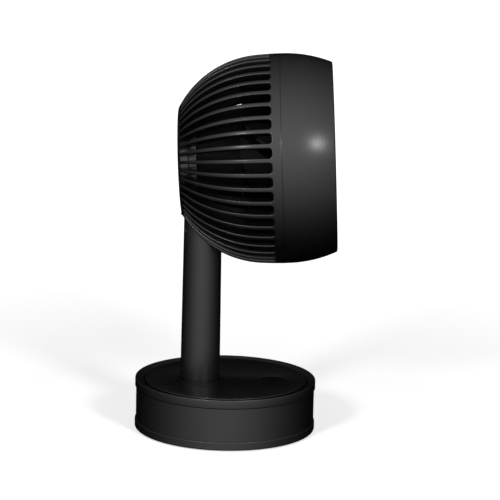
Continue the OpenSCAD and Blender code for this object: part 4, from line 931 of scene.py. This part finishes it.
STAGE_RADIUS = 6.0        # radius of the floor and of the light tent
WORLD_LIGHT = 0.25        # strength of the white world where it lights the object
TENT_RISE = radians(32)   # how high above the camera's side the tent is brightest


def blend_by_ray(tree, plain, shown):
    """Mixes two shaders so that camera, glossy and transmission rays meet the second."""
    ray = tree.add("LightPath").outputs
    either = ray["Is Camera Ray"]
    for name in ("Is Glossy Ray", "Is Transmission Ray"):
        either = tree.maths("MAXIMUM", either, ray[name])
    return tree.add("MixShader", {0: either, 1: plain, 2: shown}).outputs[0]


def stage_material(name):
    """A material without a shader, for a piece of the stage."""
    mat = bpy.data.materials.new(name)
    mat.use_nodes = True
    mat.node_tree.nodes.remove(mat.node_tree.nodes["Principled BSDF"])
    return mat


class CIRCULATOR_OT_stage(bpy.types.Operator):
    """Sets up the camera, the soft lights, the white floor and the world"""

    bl_idname = "circulator.stage"
    bl_label = "Studio"

    def execute(self, context):
        studio = context.scene.circulator_studio
        self.world(context)
        self.floor()
        self.tent(studio)
        self.lights(studio)
        self.camera(context, studio)
        context.scene.view_settings.view_transform = "Standard"
        return {"FINISHED"}

    def world(self, context):
        """A dim white for the light that falls on the object, a full one for what is seen."""
        world = bpy.data.worlds.new("studio")
        world.use_nodes = True
        tree = Tree(world.node_tree)
        dim = tree.nodes["Background"]
        dim.inputs["Color"].default_value = (1, 1, 1, 1)
        dim.inputs["Strength"].default_value = WORLD_LIGHT
        white = tree.add("Background", {"Color": (1, 1, 1, 1)})
        out = blend_by_ray(tree, dim.outputs[0], white.outputs[0])
        tree.set(tree.nodes["World Output"].inputs["Surface"], out)
        context.scene.world = world

    def floor(self):
        """A white disc that keeps the shadow and fades to the background further out."""
        near, far, near_glow, far_glow = 0.25, 1.2, 0.52, 1.0
        bm = bmesh.new()
        bmesh.ops.create_circle(bm, segments=96, radius=STAGE_RADIUS, cap_ends=True)
        floor = put_in_scene("floor", mesh_from(bm, "floor"))
        mat = stage_material("floor_white")
        tree = Tree(mat.node_tree)
        paper = tree.add("BsdfDiffuse", {"Color": (0.8, 0.8, 0.8, 1)}).outputs[0]
        place = tree.add("TexCoord").outputs["Object"]
        away = tree.add("VectorMath", {0: place}, "LENGTH").outputs["Value"]
        lift = tree.spread(away, near_glow, far_glow, near, far)
        glow = tree.add("Emission", {"Strength": lift}).outputs[0]
        both = tree.add("AddShader", {0: paper, 1: glow}).outputs[0]
        tree.set(tree.nodes["Material Output"].inputs["Surface"],
                 blend_by_ray(tree, paper, both))
        floor.data.materials.append(mat)
        floor.visible_glossy = False

    def tent(self, studio):
        """A round light tent, met only by reflections: bright behind the camera, black
        opposite, as dark plastic is lit to keep its edges dark."""
        bm = bmesh.new()
        bmesh.ops.create_icosphere(bm, subdivisions=4, radius=STAGE_RADIUS)
        tent = put_in_scene("light_tent", mesh_from(bm, "light_tent"))
        mat = stage_material("tent_cloth")
        mat.cycles.emission_sampling = "NONE"
        tree = Tree(mat.node_tree)
        brightest = (-cos(TENT_RISE), 0.0, sin(TENT_RISE))
        place = tree.add("TexCoord").outputs["Object"]
        way = tree.add("VectorMath", {0: place}, "NORMALIZE").outputs["Vector"]
        near = tree.add("VectorMath", {0: way, 1: brightest}, "DOT_PRODUCT").outputs["Value"]
        share = tree.spread(near, 0.0, 1.0, -1.0, 1.0)
        level = tree.maths("MULTIPLY", tree.maths("POWER", share, studio.fall), studio.tent)
        glow = tree.add("Emission", {"Strength": level}).outputs[0]
        tree.set(tree.nodes["Material Output"].inputs["Surface"], glow)
        tent.data.materials.append(mat)
        tent.visible_camera = False
        tent.visible_diffuse = False
        tent.visible_transmission = False
        tent.visible_shadow = False

    def lights(self, studio):
        """Two key lights that only diffuse light shows, each with a small one that only
        reflections show."""
        for side, azimuth in (("left", radians(152)), ("right", radians(211))):
            key = self.soft("key_" + side, studio.key, 0.32, azimuth)
            key.visible_glossy = False
            glint = self.soft("glint_" + side, studio.glint, 0.12, azimuth)
            glint.visible_diffuse = False

    def soft(self, name, power, size, azimuth):
        """A round lamp that is aimed at the middle of the fan."""
        aim, away, rise = Vector((0, -0.02, 0.16)), 1.8, radians(26)
        light = bpy.data.lights.new(name, "AREA")
        light.shape = "DISK"
        light.size, light.energy = size, power
        lamp = put_in_scene(name, light)
        lamp.location = aim + away * Vector((cos(azimuth) * cos(rise),
                                             sin(azimuth) * cos(rise), sin(rise)))
        lamp.rotation_euler = (aim - lamp.location).to_track_quat("-Z", "Y").to_euler()
        return lamp

    def camera(self, context, studio):
        """The camera, aimed by its pan and dip and then rolled about its view."""
        forward = Vector((cos(studio.pan) * cos(studio.dip), sin(studio.pan) * cos(studio.dip),
                          -sin(studio.dip)))
        level = Vector((sin(studio.pan), -cos(studio.pan), 0))
        rise = level.cross(forward)
        right = cos(studio.roll) * level + sin(studio.roll) * rise
        up = right.cross(forward)
        data = bpy.data.cameras.new("camera")
        data.sensor_width = 36.0
        data.lens = studio.lens
        data.clip_end = 50.0
        camera = put_in_scene("camera", data)
        camera.matrix_world = Matrix((
            (right.x, up.x, -forward.x, studio.camera[0]),
            (right.y, up.y, -forward.y, studio.camera[1]),
            (right.z, up.z, -forward.z, studio.camera[2]),
            (0, 0, 0, 1)))
        context.scene.camera = camera


# ---------------------------------------------------------------- panel

class CIRCULATOR_PT_panel(bpy.types.Panel):
    bl_idname = "CIRCULATOR_PT_panel"
    bl_label = "Air circulator"
    bl_space_type = "VIEW_3D"
    bl_region_type = "UI"
    bl_category = "Circulator"

    def draw(self, context):
        for settings in SETTINGS:
            box = self.layout.box()
            group = getattr(context.scene, settings)
            for name in group.bl_rna.properties.keys():
                if name not in {"rna_type", "name"}:
                    box.prop(group, name)
        for step in STEPS:
            self.layout.operator(step.bl_idname)


SETTINGS = ("circulator_head", "circulator_base", "circulator_finishes", "circulator_studio")
STEPS = (CIRCULATOR_OT_finishes, CIRCULATOR_OT_cage, CIRCULATOR_OT_front_shell,
         CIRCULATOR_OT_front_grille, CIRCULATOR_OT_base_top, CIRCULATOR_OT_stage)
CLASSES = (HeadSizes, BaseSizes, Finishes, Studio) + STEPS + (CIRCULATOR_PT_panel,)


def register():
    for cls in CLASSES:
        bpy.utils.register_class(cls)
    bpy.types.Scene.circulator_head = PointerProperty(type=HeadSizes)
    bpy.types.Scene.circulator_base = PointerProperty(type=BaseSizes)
    bpy.types.Scene.circulator_finishes = PointerProperty(type=Finishes)
    bpy.types.Scene.circulator_studio = PointerProperty(type=Studio)


def unregister():
    for settings in SETTINGS:
        delattr(bpy.types.Scene, settings)
    for cls in reversed(CLASSES):
        bpy.utils.unregister_class(cls)


def main():
    register()
    bpy.ops.circulator.finishes()
    bpy.ops.circulator.cage()
    bpy.ops.circulator.front_shell()
    bpy.ops.circulator.front_grille()
    bpy.ops.circulator.base_top()
    bpy.ops.circulator.stage()


if __name__ == "__main__":
    main()
